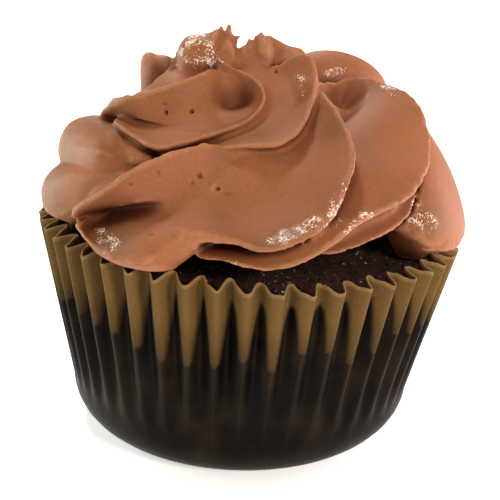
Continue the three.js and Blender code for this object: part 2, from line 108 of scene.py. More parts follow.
UPPER_RIDGES = [
    {"path": [(-182, 22.5, 50), (-170, 24.5, 51.5), (-159, 25, 53.9), (-149, 23.7, 56.2),
              (-138, 19.5, 58.4), (-129.5, 14.3, 60.4), (-128, 10.8, 61.4), (-138, 7.5, 62)],
     "foot": [(-184, 21, 49), (-172, 22.6, 50.8), (-160, 22.4, 52.2), (-148, 21.4, 52),
              (-137, 20.9, 52), (-127, 20.4, 52.4), (-116, 19.6, 52.8), (-106, 17.8, 53.4),
              (-101, 13.2, 53.8), (-110, 9, 54)], "depth": 2.0},
    {"path": [(-160, 22.5, 52.2), (-148, 24.8, 53.1), (-137, 24.6, 51.9), (-124, 24.2, 51),
              (-114, 22.3, 52.3), (-104, 19.8, 53.7), (-92, 17, 55.3), (-83, 13, 57.9),
              (-88, 9.8, 60), (-112, 8.2, 61.2), (-138, 8, 62.4), (-148, 7.6, 64.2),
              (-150, 6.5, 66)], "slope": 14,
     "head": [(-162, 21.5, 52.4), (-155, 22.3, 53.2), (-148, 21.8, 52.9), (-137, 21.3, 52.7),
              (-127, 20.8, 53.1), (-116, 19.8, 53.5), (-107, 17.8, 54), (-101, 13.2, 54.4),
              (-106, 9.5, 54.8), (-118, 7.5, 56.5), (-128, 6.6, 59), (-140, 6.2, 62)]},
    {"path": [(-116, 19.5, 50.5), (-103, 22, 51.7), (-91, 22.6, 52.5), (-80, 22.6, 52.9),
              (-71, 21.3, 54.7), (-60, 17.6, 58.1), (-50, 14.5, 60.3), (-44, 13, 61.8),
              (-42, 11, 63.8), (-50, 8, 65)], "slope": 12,
     "head": [(-118, 19, 50.6), (-106, 19.2, 52.2), (-96, 17.2, 53.6), (-88, 14.6, 55.2),
              (-82, 11.8, 57), (-82, 9, 58.6), (-90, 6.6, 60), (-105, 5, 61.3),
              (-125, 4, 62.5)]},
]
# Ridges that no neighbour disturbs, the same on each tier but for their azimuth.
LOWER_EVEN = {"azimuths": (-220, -256, -292), "full": 0.45, "slope": 14,
              "path": [(-28, 32.5, 37.5), (-14, 34.6, 39.5), (-3, 34, 44), (6, 31.5, 48),
                       (15, 27, 51.5), (26, 22, 53.5), (38, 17, 54.5)]}
UPPER_EVEN = {"azimuths": (52, 94, 136), "full": 0.3, "slope": 14,
              "path": [(-45, 19, 51), (-22, 21.5, 53), (-6, 20.5, 57), (8, 16.5, 60.3),
                       (22, 12, 62.3), (38, 8, 63.3)]}
# Lobes where the rope swelled: middle as on a path, half sizes round the axis, outwards and
# upwards, how far it leans to the right in degrees, and how square it is, from 1 for an
# ellipsoid to 0 for a box.
LOBES = [
    {"at": (-10, 5.6, 59.4), "half": (3.4, 3.4, 3.8), "lean": -14, "square": 0.9},
    {"at": (31, 16.3, 56.1), "half": (7, 9.6, 5.4), "lean": 15},
    {"at": (90, 4, 57), "half": (9, 7.5, 5.5)},
    {"at": (150, 8.5, 57.4), "half": (5, 4.6, 4.6)},
    {"at": (-165, 12, 55.4), "half": (7, 5, 4)},
    {"at": (-134, 7.2, 56.4), "half": (4.5, 4, 3.6)},
    {"at": (-92, 4.4, 58.4), "half": (3, 3, 2.6)},
    {"at": (-154, 22, 48.6), "half": (9, 4, 3.4)},
    {"at": (35, 8.5, 56.6), "half": (5, 5, 4.8)},
    {"at": (84, 20, 45.5), "half": (15, 5.5, 5)},
    {"at": (125, 20, 45.5), "half": (12, 5, 4.6)},
    {"at": (86, 22.8, 47.5), "half": (4, 3.4, 3)},
    {"at": (129, 23.6, 46.8), "half": (4, 3.4, 3)},
    {"at": (-28, 7.2, 58.6), "half": (3, 2.6, 2.6)},
    {"at": (112, 18.5, 53), "half": (10.5, 5, 4.6), "lean": 8},
]
# Upright petals where the rope's end was torn off: outline seen from the front as x and
# height, how far back the middle is, and half the thickness, in millimetres.
PETALS = [
    {"outline": [(-10, 57), (-11.4, 60.6), (-11.4, 63), (-10.3, 64.6), (-8.6, 65.2), (-6.8, 65.4),
                 (-4.9, 66.1), (-4.6, 65), (-5, 62.6), (-5.9, 59.8), (-7, 57)], "back": -2.2, "half": 3.2},
    {"outline": [(-3.6, 57.5), (-5.7, 60.6), (-5.7, 62.4), (-4.9, 63.9), (-3.7, 65.2), (-2.8, 64.8),
                 (-2.1, 63.4), (-1.8, 61), (-2.3, 58.5)], "back": -4, "half": 1.9},
    {"outline": [(-1.4, 58), (-2, 61), (-1.7, 63.4), (-1.0, 64), (-0.4, 63.2), (-0.2, 61), (-0.5, 58)],
     "back": -3.4, "half": 1.6},
    {"outline": [(0, 58), (-0.5, 61), (-0.5, 63.8), (-0.1, 64.7), (0.3, 63.9), (0.8, 61), (0.8, 58)],
     "back": -3, "half": 1.6},
    {"outline": [(1.6, 57), (0.6, 61), (0.5, 64), (0.9, 65.1), (1.6, 65.5), (2.4, 65), (3.2, 63.8),
                 (3.8, 61.4), (3.4, 58)], "back": -2.4, "half": 2.4},
    {"outline": [(2, 58), (1.6, 62), (2.2, 64.9), (4.4, 64.3), (6, 63.5), (8.2, 63), (9.6, 60.5),
                 (8, 57.5)], "back": 0.4, "half": 3},
    {"outline": [(-14.5, 49.2), (-18.2, 51.6), (-18.7, 54.8), (-18.5, 58.8), (-17.6, 59.8), (-16, 59.3),
                 (-14.4, 59.3), (-12, 58), (-9, 56.4), (-8, 50.2)], "back": 11.8, "half": 4.2},
]
# Wisps drawn out as the nozzle was pulled away: from, to and thickness at the root, in mm.
WISPS = [
    ((-3.5, -3.6, 64.3), (-3.5, -3.4, 67.2), 0.95),
    ((-4.7, -2.8, 64.8), (-4.75, -2.6, 66.9), 0.7),
    ((-2.9, -3.2, 63.9), (-2.2, -3.2, 65.2), 0.7),
    ((-2.3, -3.2, 65.0), (-1.4, -3.2, 65.6), 0.42),
    ((-0.2, -3, 63.9), (-0.3, -3, 65.1), 0.6),
    ((0.9, -2.6, 64.2), (0.7, -2.6, 65.3), 0.6),
    ((1.6, -2.4, 64.8), (1.5, -2.4, 66.1), 0.7),
    ((2.6, -2, 64.2), (2.8, -2, 65.2), 0.6),
]
# Places where two ridges were smeared into one, and how far that reaches in millimetres.
SMEARS = [
    ((-97, 24, 49.3), 3.4), ((-95.5, 21.8, 50.8), 1.6), ((-8, 12.8, 55.6), 3.4),
    ((3, 15.2, 55.9), 3.4), ((-12, 15.8, 54.8), 3), ((-30, 8.2, 59.8), 3), ((-172, 30, 48.5), 5),
    ((-166, 33.4, 41), 5), ((-93, 5.6, 60.2), 3.2), ((-121, 10, 58.8), 3.4),
]
# Deep pockets under a curled lip: place, how far each reaches, and how deep it is pressed.
POCKETS = [
    ((-2, 13.8, 56), 5.4, 3.4), ((-107, 10.6, 56.8), 4.2, 1.7), ((-62, 13.5, 57.6), 3.5, 0.8),
]
# Grooves that run in under the lip above them: line, how far each reaches, how deep, and how
# much it turns upwards.
GROOVES = [
    {"path": [(-142, 29.6, 40.7), (-132, 28.8, 41.3), (-124, 28.9, 42.4),
              (-116, 29, 43.6), (-109, 28.8, 44.8)], "reach": 2.1, "depth": 1.8, "rise": 0.35},
    {"path": [(-103, 32.2, 40), (-97, 32.2, 40.5), (-90, 32.6, 40.4), (-84, 33, 40.2)],
     "reach": 1.7, "depth": 1.5, "rise": 0.3},
    {"path": [(-160, 22.3, 52.6), (-148, 21.4, 52.5), (-137, 20.9, 52.5), (-127, 20.4, 52.9),
              (-117, 19.6, 53.3)], "reach": 1.5, "depth": 1.0, "rise": 0.3},
]
# Burst air bubbles: place, and width across.
PITS = [
    ((-134, 19.2, 56.5), 0.5), ((-133, 19.5, 55.3), 0.75), ((-123, 17, 55.8), 0.85),
    ((-123, 30.9, 47.4), 0.6), ((-117, 29, 49.1), 0.5), ((-107, 25.6, 48.8), 0.8),
    ((-108, 26.5, 47.7), 0.5), ((-100, 26.1, 47.1), 0.75), ((-98, 26, 46.8), 0.5),
    ((-173, 28.5, 48.8), 0.7), ((-166, 26.6, 49.3), 0.6), ((-114, 32.4, 40.8), 0.5),
    ((-111, 12.2, 56.1), 0.5), ((-63, 6.9, 60.5), 0.5), ((-40, 9.5, 61), 0.5),
    ((20, 24, 51), 0.7), ((75, 22, 50), 0.8), ((118, 27, 46), 0.7), ((160, 30, 45), 0.6),
]
# Torn, glistening patches, each along a line, and how far it reaches: wetter and bumpier there, with
# painted sparkles.
GLINTS = [
    {"path": [(-84, 33, 42.3), (-78, 32.6, 43.6), (-71, 33, 45.6), (-66, 31.5, 48.2)], "reach": 2.5},
    {"path": [(-135, 32, 39.8), (-130, 33, 39.2), (-123, 33.8, 38.4)], "reach": 2.6},
    {"path": [(-103, 33.2, 38), (-98, 34, 38.6), (-94, 34.2, 38.8)], "reach": 2.4},
    {"path": [(-101, 33.8, 37.4), (-96, 34.2, 37.8)], "reach": 2.2},
    {"path": [(-160, 11, 64.6), (-152, 10.5, 63.6), (-146, 9.5, 62)], "reach": 4.6},
    {"path": [(-61, 13.6, 58.8), (-55, 12.4, 59.6), (-51, 11, 60)], "reach": 2.4},
    {"path": [(6, 12.4, 59.2), (12, 15, 59.6)], "reach": 2.0},
    {"path": [(4, 20, 58.2), (-3, 21.5, 57.8), (-10, 22.6, 56.8)], "reach": 2.2},
    {"path": [(-68, 34, 44.2), (-62, 34, 45)], "reach": 1.9},
    {"path": [(-56, 33.6, 44), (-49, 33, 45.4)], "reach": 2.2},
    {"path": [(-38, 31.4, 43), (-34, 32.4, 40.6)], "reach": 3.4},
    {"path": [(55, 31, 47), (66, 30, 50)], "reach": 3},
    {"path": [(146, 29, 46), (156, 30, 44)], "reach": 3},
]
# Cross-section of a ridge about its tier's core: degrees past the lip, share of the lip's
# distance. The upper face is a broad hollow. A sloping or full face under the lip has shares of
# its slope or its belly in place of the degrees.
UPPER_FACE = [(2.3, 0.985), (5, 0.945), (12, 0.865), (26, 0.79), (46, 0.75), (66, 0.76)]
UNDERCUT_FACE = [(10, 0.66), (7, 0.78), (3.4, 0.88), (0.4, 0.95), (-0.9, 0.98)]
# The same two faces where the rope is still full, before the next ridge hollows it.
FULL_UPPER_FACE = [(3, 1.0), (8, 0.985), (14, 0.94), (20, 0.87), (27, 0.77), (40, 0.66)]
FULL_UNDER_FACE = [(-1, 0.66), (-0.92, 0.80), (-0.74, 0.91), (-0.48, 0.97), (-0.22, 0.995)]
SLOPING_FACE = [(-1, 0.78), (-0.6, 0.83), (-0.2, 0.93), (-0.06, 0.98)]
LIP = [(-0.4, 0.993), (0.6, 1.0), (1.5, 0.995)]
FULL_LIP = [(-2.5, 0.998), (-1, 1.0), (1, 1.0)]
# Where a ridge ends inside the core, as a share of the lip's distance.
ROOT = 0.4
# How deep a face sags that is laid between a lip and the valley line beside it, as a share of
# its width, the points across it, and how they crowd towards the lip.
SAG = 0.13
ACROSS = 12
CROWDING = 1.3
# Length of path, in mm, over which the direction of a cross-section is evened out, and the
# length between two cross-sections.
EASE = 7.0
STEP = 0.4
# Size of a ridge at its very end, as a share, and the share of its length that its far end's
# round shoulder takes.
END_SIZE, END_GROWTH, FAR_SHOULDER = 0.45, 0.55, 0.12


# ---- sizes and colours that a user would change --------------------------------------------


def hex_to_linear(code):
    """Linear RGBA of an sRGB hex colour such as '#7a5c3a'."""
    channels = [int(code[i : i + 2], 16) / 255 for i in (1, 3, 5)]
    return (*[c / 12.92 if c <= 0.04045 else ((c + 0.055) / 1.055) ** 2.4 for c in channels], 1.0)


def length(name, description, default):
    return FloatProperty(name=name, description=description, default=default, min=0.0,
                         unit="LENGTH", subtype="DISTANCE", precision=5)


def colour(name, description, code):
    return FloatVectorProperty(name=name, description=description, default=hex_to_linear(code),
                               size=4, min=0.0, max=1.0, subtype="COLOR")


class CaseSettings(bpy.types.PropertyGroup):
    """Sizes and colours of the fluted paper case."""

    rim_radius: length("Rim radius", "From the axis to a flute's crest at the rim", 0.035)
    height: length("Height", "From the table to a crest's rim", 0.0349)
    heel_radius: length("Heel radius", "Where the rounded heel meets the wall", 0.0289)
    heel_height: length("Heel height", "Height of the rounded heel", 0.008)
    base_radius: length("Base radius", "Radius of the flat base", 0.021)
    wall: length("Paper thickness", "Drawn a little thicker than the real 0.08 mm", 0.00022)
    flutes: IntProperty(name="Flutes", description="Pleats round the wall", default=48, min=8)
    flute_depth: length("Flute depth", "Crest to valley at the rim", 0.003)
    kraft: colour("Kraft", "Paper that stands off the cake", "#664e2c")
    greased: colour("Greased", "Paper that butter has soaked against the cake", "#080504")
    cut_edge: colour("Cut edge", "The rim, where the paper's bare pulp shows", "#a98a63")


class CakeSettings(bpy.types.PropertyGroup):
    """Sizes and colours of the sponge."""

    edge_height: length("Edge height", "Where the sponge meets the paper", 0.0334)
    dome: length("Dome", "Rise from the edge to the middle", 0.0026)
    crumb: length("Crumb", "Width of the sponge's pores", 0.0011)
    colour: colour("Sponge", "Baked crumb", "#24100a")
    # Painted glints: the pale colour of dots in the crumb, in place of caught light.
    glint: colour("Glint", "Fat and sugar that catch the light in the crumb", "#cdbfae")


class FrostingSettings(bpy.types.PropertyGroup):
    """Sizes and colours of the piped swirl."""

    detail: length("Detail", "Voxel that joins the rope's ridges into one body", 0.00032)
    gap: length("Gap", "Clearance over the cake and the paper's rim", 0.00035)
    colour: colour("Buttercream", "Chocolate buttercream", "#945a3a")
    shade: colour("Cocoa", "Where more cocoa has gathered", "#80512f")
    # Painted shade: the darker, redder colour that the folds are mixed towards.
    fold: colour("Fold", "Buttercream in the deep folds", "#542411")
    # Painted highlight: the paler colour that the thin lips are mixed towards.
    lip: colour("Lip", "Thin edges that let light through", "#bd8866")
    # Painted sparkles: the pale colour of dots in the torn patches, in place of glints of light.
    painted_sparkle: colour("Crystal", "Sugar and fat that show where the paste was torn", "#f4e2d4")


class StageSettings(bpy.types.PropertyGroup):
    """The camera, the floor and the lights."""

    distance: length("Camera distance", "From the camera to the middle of the case", 0.190)
    elevation: FloatProperty(name="Elevation", description="Camera above the horizon",
                             default=math.radians(22.99), subtype="ANGLE", unit="ROTATION")
    roll: FloatProperty(name="Roll", description="Turn of the camera about its own line of sight",
                        default=math.radians(2.263), subtype="ANGLE", unit="ROTATION")
    lens: FloatProperty(name="Lens", description="Focal length in mm on a 36 mm sensor",
                        default=78.83, min=10)
    floor: colour("Floor", "Top of the light table", "#f6f5f4")


# ---- small helpers ---------------------------------------------------------------------------


def deselect():
    """Leaves edit mode and deselects everything, since an operator acts on all that is selected."""
    if bpy.context.mode != "OBJECT":
        bpy.ops.object.mode_set(mode="OBJECT")
    bpy.ops.object.select_all(action="DESELECT")


def pick(*objects):
    """Selects just these objects and makes the first one active."""
    deselect()
    for each in objects:
        each.select_set(True)
    bpy.context.view_layer.objects.active = objects[0]


def apply_modifier(piece, kind, **settings):
    """Adds a modifier with its settings and applies it."""
    pick(piece)
    modifier = piece.modifiers.new(kind.title(), kind)
    for key, value in settings.items():
        setattr(modifier, key, value)
    bpy.ops.object.modifier_apply(modifier=modifier.name)


def read_points(mesh):
    points = np.empty(len(mesh.vertices) * 3)
    mesh.vertices.foreach_get("co", points)
    return points.reshape(-1, 3)


def write_points(mesh, points):
    mesh.vertices.foreach_set("co", np.ascontiguousarray(points, dtype=np.float32).ravel())
    mesh.update()


def read_normals(mesh):
    normals = np.empty(len(mesh.vertices) * 3)
    mesh.vertices.foreach_get("normal", normals)
    return normals.reshape(-1, 3)


def smooth_step(value):
    """0 below 0, 1 above 1, and a smooth rise between."""
    value = np.clip(value, 0, 1)
    return value * value * (3 - 2 * value)


def cloud(name, size):
    """A procedural cloud texture for a Displace modifier, with features of that size."""
    texture = bpy.data.textures.new(name, "CLOUDS")
    texture.noise_scale = size
    texture.noise_depth = 2
    return texture


# Kinds of shader node, and settings that several of them have.
MATH, VECTOR, RANGE = "ShaderNodeMath", "ShaderNodeVectorMath", "ShaderNodeMapRange"
MIX, NOISE, BUMP = "ShaderNodeMix", "ShaderNodeTexNoise", "ShaderNodeBump"
COORDINATES, ATTRIBUTE = "ShaderNodeTexCoord", "ShaderNodeAttribute"
PRINCIPLED, OUTPUT = "ShaderNodeBsdfPrincipled", "ShaderNodeOutputMaterial"
PLUS, MINUS, TIMES, POWER = [{"operation": name} for name in ("ADD", "SUBTRACT", "MULTIPLY", "POWER")]
HIGHER, SCALED = {"operation": "MAXIMUM"}, {"operation": "SCALE"}
SMOOTH, COLOURS = {"interpolation_type": "SMOOTHSTEP"}, {"data_type": "RGBA"}


def add_node(tree, kind, settings=None, **inputs):
    """Adds a shader node, sets its properties and fills its inputs, or links them to the
    sockets, or the first outputs of the nodes, that are given. i0 is the first input."""
    node = tree.nodes.new(kind)
    for key, value in (settings or {}).items():
        setattr(node, key, value)
    for key, value in inputs.items():
        numbered = key[0] == "i" and key[1:].isdigit()
        socket = node.inputs[int(key[1:]) if numbered else key.replace("_", " ")]
        if isinstance(value, bpy.types.Node):
            value = value.outputs[0]
        if isinstance(value, bpy.types.NodeSocket):
            tree.links.new(value, socket)
        else:
            socket.default_value = value
    return node


def new_material(name):
    material = bpy.data.materials.new(name)
    material.use_nodes = True
    material.node_tree.nodes.clear()
    return material, material.node_tree


def finish_piece(piece, node, material):
    """Gives a piece its one material, and makes it stand for its node of the frame."""
    piece.data.materials.clear()
    piece.data.materials.append(material)
    piece.data.polygons.foreach_set("use_smooth", [True] * len(piece.data.polygons))
    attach(piece, "root")
    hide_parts(node)


# ---- the paper case --------------------------------------------------------------------------

# How far a valley stands above a crest at the rim, and where the first flute's crest is.
VALLEY_LIFT = 0.8 * MM
FIRST_FLUTE = math.radians(-90.1)
# The case leans a little to one side: slope of its rim, and how far the rim lies off the axis.
RIM_LEAN = math.tan(math.radians(1.9))
RIM_SHIFT = 1.05 * MM
# How crisp the folds are near the rim, from 0 for a wave to 1, and how far each is pulled aside.
FLUTE_CRISPNESS, FLUTE_PULL = 0.6, 0.55
# Pressed paper is never even: how much flutes differ in their lean and depth, as shares, and in
# their radius, ripple and height at the rim.
LEAN_SPREAD, DEPTH_SPREAD = 0.35, 0.14
RADIUS_SPREAD, RIPPLE, HEIGHT_SPREAD = 0.25 * MM, 0.12 * MM, 0.2 * MM
# Phases that make the flutes differ without a pattern.
PHASES = (12.9898, 4.1, 5.31)
HEEL_STEPS = 8


def lean(points, height):
    """The case stands square on its base and leans more towards its rim."""
    share = points[:, 2] / height
    moved = points.copy()
    moved[:, 2] -= RIM_LEAN * points[:, 0] * share
    moved[:, 0] += RIM_SHIFT * share
    return moved


def flute_turn(points, case):
    """Angle within the flutes: a crest at each full turn."""
    return (np.arctan2(points[:, 1], points[:, 0]) - FIRST_FLUTE) * case.flutes


def wall_share(points, case):
    """0 up to the heel's top, 1 at the rim."""
    return np.clip((points[:, 2] - case.heel_height) / (case.height - case.heel_height), 0, 1)


def press_flutes(points, case):
    """Presses the flutes into the wall: crests keep their radius, valleys go in and up."""
    radius = np.hypot(points[:, 0], points[:, 1]) + TINY
    share = wall_share(points, case)
    turn = flute_turn(points, case)
    number = np.floor(turn / (2 * math.pi) + 0.5)
    first, offset, second = PHASES
    # From -1 to 1, the same all over a flute.
    wander = np.sin(number * first + offset) * 0.5 + np.sin(number * second) * 0.5
    skew = LEAN_SPREAD * np.sin(turn) * (0.4 + 0.6 * wander) + FLUTE_PULL * (1 - np.cos(turn))
    valley = (1 - np.cos(turn + skew * share)) / 2
    valley += (smooth_step(valley) - valley) * FLUTE_CRISPNESS * share
    # A flute is deep soon above the heel; its lift and ripple show only near the rim.
    depth = case.flute_depth * (1 + DEPTH_SPREAD * wander) * valley * share**0.8
    moved = points.copy()
    scale = (radius - depth - RADIUS_SPREAD * (0.5 + 0.5 * wander) * share) / radius
    moved[:, :2] *= scale[:, None]
    ripple = RIPPLE * np.sin(turn * 2 + number * 2.3)
    moved[:, 2] += (VALLEY_LIFT * valley + ripple - HEIGHT_SPREAD * np.abs(wander)) * share**3
    return lean(moved, case.height)


def start_profile(name, around, radius, height):
    """A new piece in edit mode: a flat disc, with its rim selected to be drawn up from."""
    deselect()
    bpy.ops.mesh.primitive_circle_add(vertices=around, radius=radius, fill_type="TRIFAN",
                                      location=(0, 0, height))
    bpy.ops.object.transform_apply(location=True)
    piece = bpy.context.object
    piece.name = name
    bpy.ops.object.mode_set(mode="EDIT")
    bpy.ops.mesh.select_mode(type="EDGE")
    bpy.ops.mesh.select_all(action="DESELECT")
    bpy.ops.mesh.select_non_manifold()
    return piece


def profile_ring(piece, radius, height):
    """Extrudes the selected rim of a piece to a new radius and height."""
    bpy.ops.mesh.extrude_edges_move(TRANSFORM_OT_translate={"value": (0, 0, 0)})
    edit = bmesh.from_edit_mesh(piece.data)
    for vertex in edit.verts:
        if vertex.select:
            flat = vertex.co.xy.normalized() * radius
            vertex.co = (flat.x, flat.y, height)
    bmesh.update_edit_mesh(piece.data)


def end_profile():
    """Turns all faces of the piece in edit mode outwards, and leaves that mode."""
    bpy.ops.mesh.select_all(action="SELECT")
    bpy.ops.mesh.normals_make_consistent(inside=False)
    bpy.ops.object.mode_set(mode="OBJECT")


def heel_profile(case, inset, steps):
    """Radius and height of the steps round the heel, or inside it by an inset."""
    across = case.heel_radius - case.base_radius - inset
    up = case.heel_height - inset
    for step in range(1, steps + 1):
        angle = math.pi / 2 * step / steps
        yield (case.base_radius + across * math.sin(angle),
               case.heel_height - up * math.cos(angle))


def paper_material(case):
    """Greaseproof baking paper, wood pulp calendered smooth: matt kraft where it stands off the
    cake, nearly black where butter has soaked it, with a tongue of dry paper down each crest."""
    material, tree = new_material("greaseproof_paper")
    place = add_node(tree, COORDINATES).outputs["Object"]
    uv = add_node(tree, "ShaderNodeUVMap", {"uv_map": "flutes"})
    across, up, _ = add_node(tree, "ShaderNodeSeparateXYZ", Vector=uv).outputs
    # Distance from the crest in flutes, and the flute's number.
    part = add_node(tree, MATH, {"operation": "FRACT"}, i0=across)
    aside = add_node(tree, MATH, MINUS, i0=part, i1=0.5)
    crest = add_node(tree, MATH, {"operation": "ABSOLUTE"}, i0=aside)
    number = add_node(tree, MATH, {"operation": "FLOOR"}, i0=across)
    chance = add_node(tree, "ShaderNodeTexWhiteNoise", {"noise_dimensions": "1D"}, W=number)
    # Height at which each crest's dry tongue ends, as a share of the wall.
    tip = add_node(tree, RANGE, Value=chance, To_Min=0.47, To_Max=0.62)
    # Grease creeps unevenly, in bays about 3 mm wide.
    blotch = add_node(tree, NOISE, Vector=place, Scale=330.0, Detail=3.0)
    wobble = add_node(tree, RANGE, Value=blotch, To_Min=-0.05, To_Max=0.05)
    level = add_node(tree, MATH, PLUS, i0=up, i1=wobble)
    along = add_node(tree, RANGE, Value=level, From_Min=tip, From_Max=0.9)
    # The soaked paper reaches up between the crests in round arches.
    above = add_node(tree, MATH, MINUS, i0=1.0, i1=along)
    bow = add_node(tree, MATH, POWER, i0=above, i1=0.5)
    taper = add_node(tree, MATH, TIMES, i0=0.37, i1=bow)
    arch = add_node(tree, MATH, MINUS, i0=0.5, i1=taper)
    start = add_node(tree, MATH, {"operation": "MULTIPLY", "use_clamp": True}, i0=along, i1=9.0)
    end = add_node(tree, MATH, POWER, i0=start, i1=0.5)
    half = add_node(tree, MATH, TIMES, i0=arch, i1=end)
    spread = add_node(tree, MATH, PLUS, i0=crest, i1=wobble)
    inside = add_node(tree, MATH, MINUS, i0=half, i1=spread)
    tongue = add_node(tree, RANGE, SMOOTH, Value=inside, From_Min=-0.1, From_Max=0.08)
    low = add_node(tree, RANGE, Value=along, From_Max=0.08)
    body = add_node(tree, RANGE, Value=along, From_Max=0.75, To_Min=0.35, To_Max=1.0)
    pointed = add_node(tree, MATH, TIMES, i0=tongue, i1=low)
    faded = add_node(tree, MATH, TIMES, i0=pointed, i1=body)
    top = add_node(tree, RANGE, SMOOTH, Value=up, From_Min=0.87, From_Max=0.91)
    dry = add_node(tree, MATH, HIGHER, i0=faded, i1=top)
    # The fold of each crest shows as a dim line down to the heel.
    line = add_node(tree, RANGE, SMOOTH, Value=crest, From_Min=0.11, From_Max=0.0, To_Max=0.1)
    fade = add_node(tree, RANGE, Value=up, From_Min=-0.1, From_Max=0.5)
    faint = add_node(tree, MATH, TIMES, i0=line, i1=fade)
    # Paler stains about 7 mm wide, where the cake doesn't touch.
    stain = add_node(tree, NOISE, Vector=place, Scale=150.0, Detail=4.0)
    patch = add_node(tree, RANGE, Value=stain, From_Min=0.45, From_Max=0.75, To_Max=0.1)
    marks = add_node(tree, MATH, PLUS, i0=faint, i1=patch)
    amount = add_node(tree, MATH, HIGHER, i0=dry, i1=marks)
    tint = add_node(tree, MIX, COLOURS, Factor=amount, i6=case.greased, i7=case.kraft)
    rim = add_node(tree, RANGE, Value=up, From_Min=0.975, From_Max=1.0, To_Max=0.55)
    edge = add_node(tree, MIX, COLOURS, Factor=rim, i6=tint.outputs[2], i7=case.cut_edge)
    # Fibres clump every 0.3 mm; single ones are too fine to show.
    fibre = add_node(tree, NOISE, Vector=place, Scale=3600.0, Detail=3.0)
    grain = add_node(tree, RANGE, Value=fibre, From_Min=0.25, From_Max=0.75, To_Min=0.8, To_Max=1.2)
    shaded = add_node(tree, VECTOR, SCALED, i0=edge.outputs[2], Scale=grain)
    rough = add_node(tree, RANGE, Value=dry, To_Min=0.5, To_Max=0.8)
    bump = add_node(tree, BUMP, Strength=0.3, Distance=0.0001, Height=fibre)
    shader = add_node(tree, PRINCIPLED, Base_Color=shaded, Roughness=rough, Normal=bump, IOR=1.47,
                      Specular_IOR_Level=0.07, Sheen_Weight=0.12, Sheen_Roughness=0.2)
    add_node(tree, OUTPUT, Surface=shader)
    return material


class MESH_OT_paper_case(bpy.types.Operator):
    """Makes the fluted paper case"""

    bl_idname = "mesh.cupcake_paper_case"
    bl_label = "Paper Case"
    bl_options = {"REGISTER", "UNDO"}

    around: IntProperty(name="Points per flute", description="Smoothness of a flute", default=16)
    up: IntProperty(name="Rows", description="Rows of faces up the wall", default=36)

    def execute(self, context):
        case = context.scene.cupcake_case
        piece = start_profile("paper_case_dressed", case.flutes * self.around, case.base_radius, 0)
        for radius, height in heel_profile(case, 0, HEEL_STEPS):
            profile_ring(piece, radius, height)
        for step in range(1, self.up + 1):
            share = step / self.up
            profile_ring(piece, case.heel_radius + (case.rim_radius - case.heel_radius) * share,
                         case.heel_height + (case.height - case.heel_height) * share)
        end_profile()
        plain = read_points(piece.data)
        self.lay_out(piece.data, plain, case)
        write_points(piece.data, press_flutes(plain, case))
        self.face_out(piece)
        apply_modifier(piece, "SOLIDIFY", thickness=case.wall, offset=-1)
        finish_piece(piece, "paper_case", paper_material(case))
        return {"FINISHED"}

    def lay_out(self, mesh, plain, case):
        """UV: flute number across, with the crest in the middle, and share of the wall up."""
        layer = mesh.uv_layers.new(name="flutes")
        turn = flute_turn(plain, case) / (2 * math.pi) + 0.5
        up = (plain[:, 2] - case.heel_height) / (case.height - case.heel_height)
        corners = np.empty(len(mesh.loops), dtype=int)
        mesh.loops.foreach_get("vertex_index", corners)
        u = turn[corners]
        for face in mesh.polygons:
            first, last = face.loop_start, face.loop_start + face.loop_total
            spread = u[first:last]
            if spread.max() - spread.min() > case.flutes / 2:
                u[first:last] = np.where(spread < spread.max() - case.flutes / 2,
                                         spread + case.flutes, spread)
        layer.uv.foreach_set("vector", np.stack([u, up[corners]], -1).astype(np.float32).ravel())

    def face_out(self, piece):
        """Turns the sheet so that its faces point away from the cake."""
        normals = read_normals(piece.data)
        points = read_points(piece.data)
        if (normals[:, :2] * points[:, :2]).sum() < 0:
            pick(piece)
            bpy.ops.object.mode_set(mode="EDIT")
            bpy.ops.mesh.select_all(action="SELECT")
            bpy.ops.mesh.flip_normals()
            bpy.ops.object.mode_set(mode="OBJECT")


# ---- the cake --------------------------------------------------------------------------------

# Gap between the sponge and the paper, and the round of its top edge.
CAKE_GAP = 0.85 * MM
CAKE_CORNER = 2.2 * MM
# The crumb may swell as near to the heel as the first, and past the edge at the rim by the second.
HEEL_GAP, RIM_SLACK = 0.6 * MM, 0.75 * MM
# The baked crumb: size of its voxels, the height where it starts to show and how fast, and the
# sizes and depths of its swell and its pores.
CRUMB_VOXEL = 0.00055
CRUMB_START, CRUMB_BLEND = 0.026, 0.006
CRUMB = (("crumb_swell", 0.006, 0.0010), ("crumb_pores", 0.0013, 0.0009))


def cake_edge(case):
    """Radius of the sponge at the rim, inside the valleys of the flutes."""
    return case.rim_radius - case.flute_depth - CAKE_GAP


def cake_top(radius, cake, edge):
    """Height of the sponge's low dome."""
    return cake.edge_height + cake.dome * (1 - (radius / edge) ** 2)


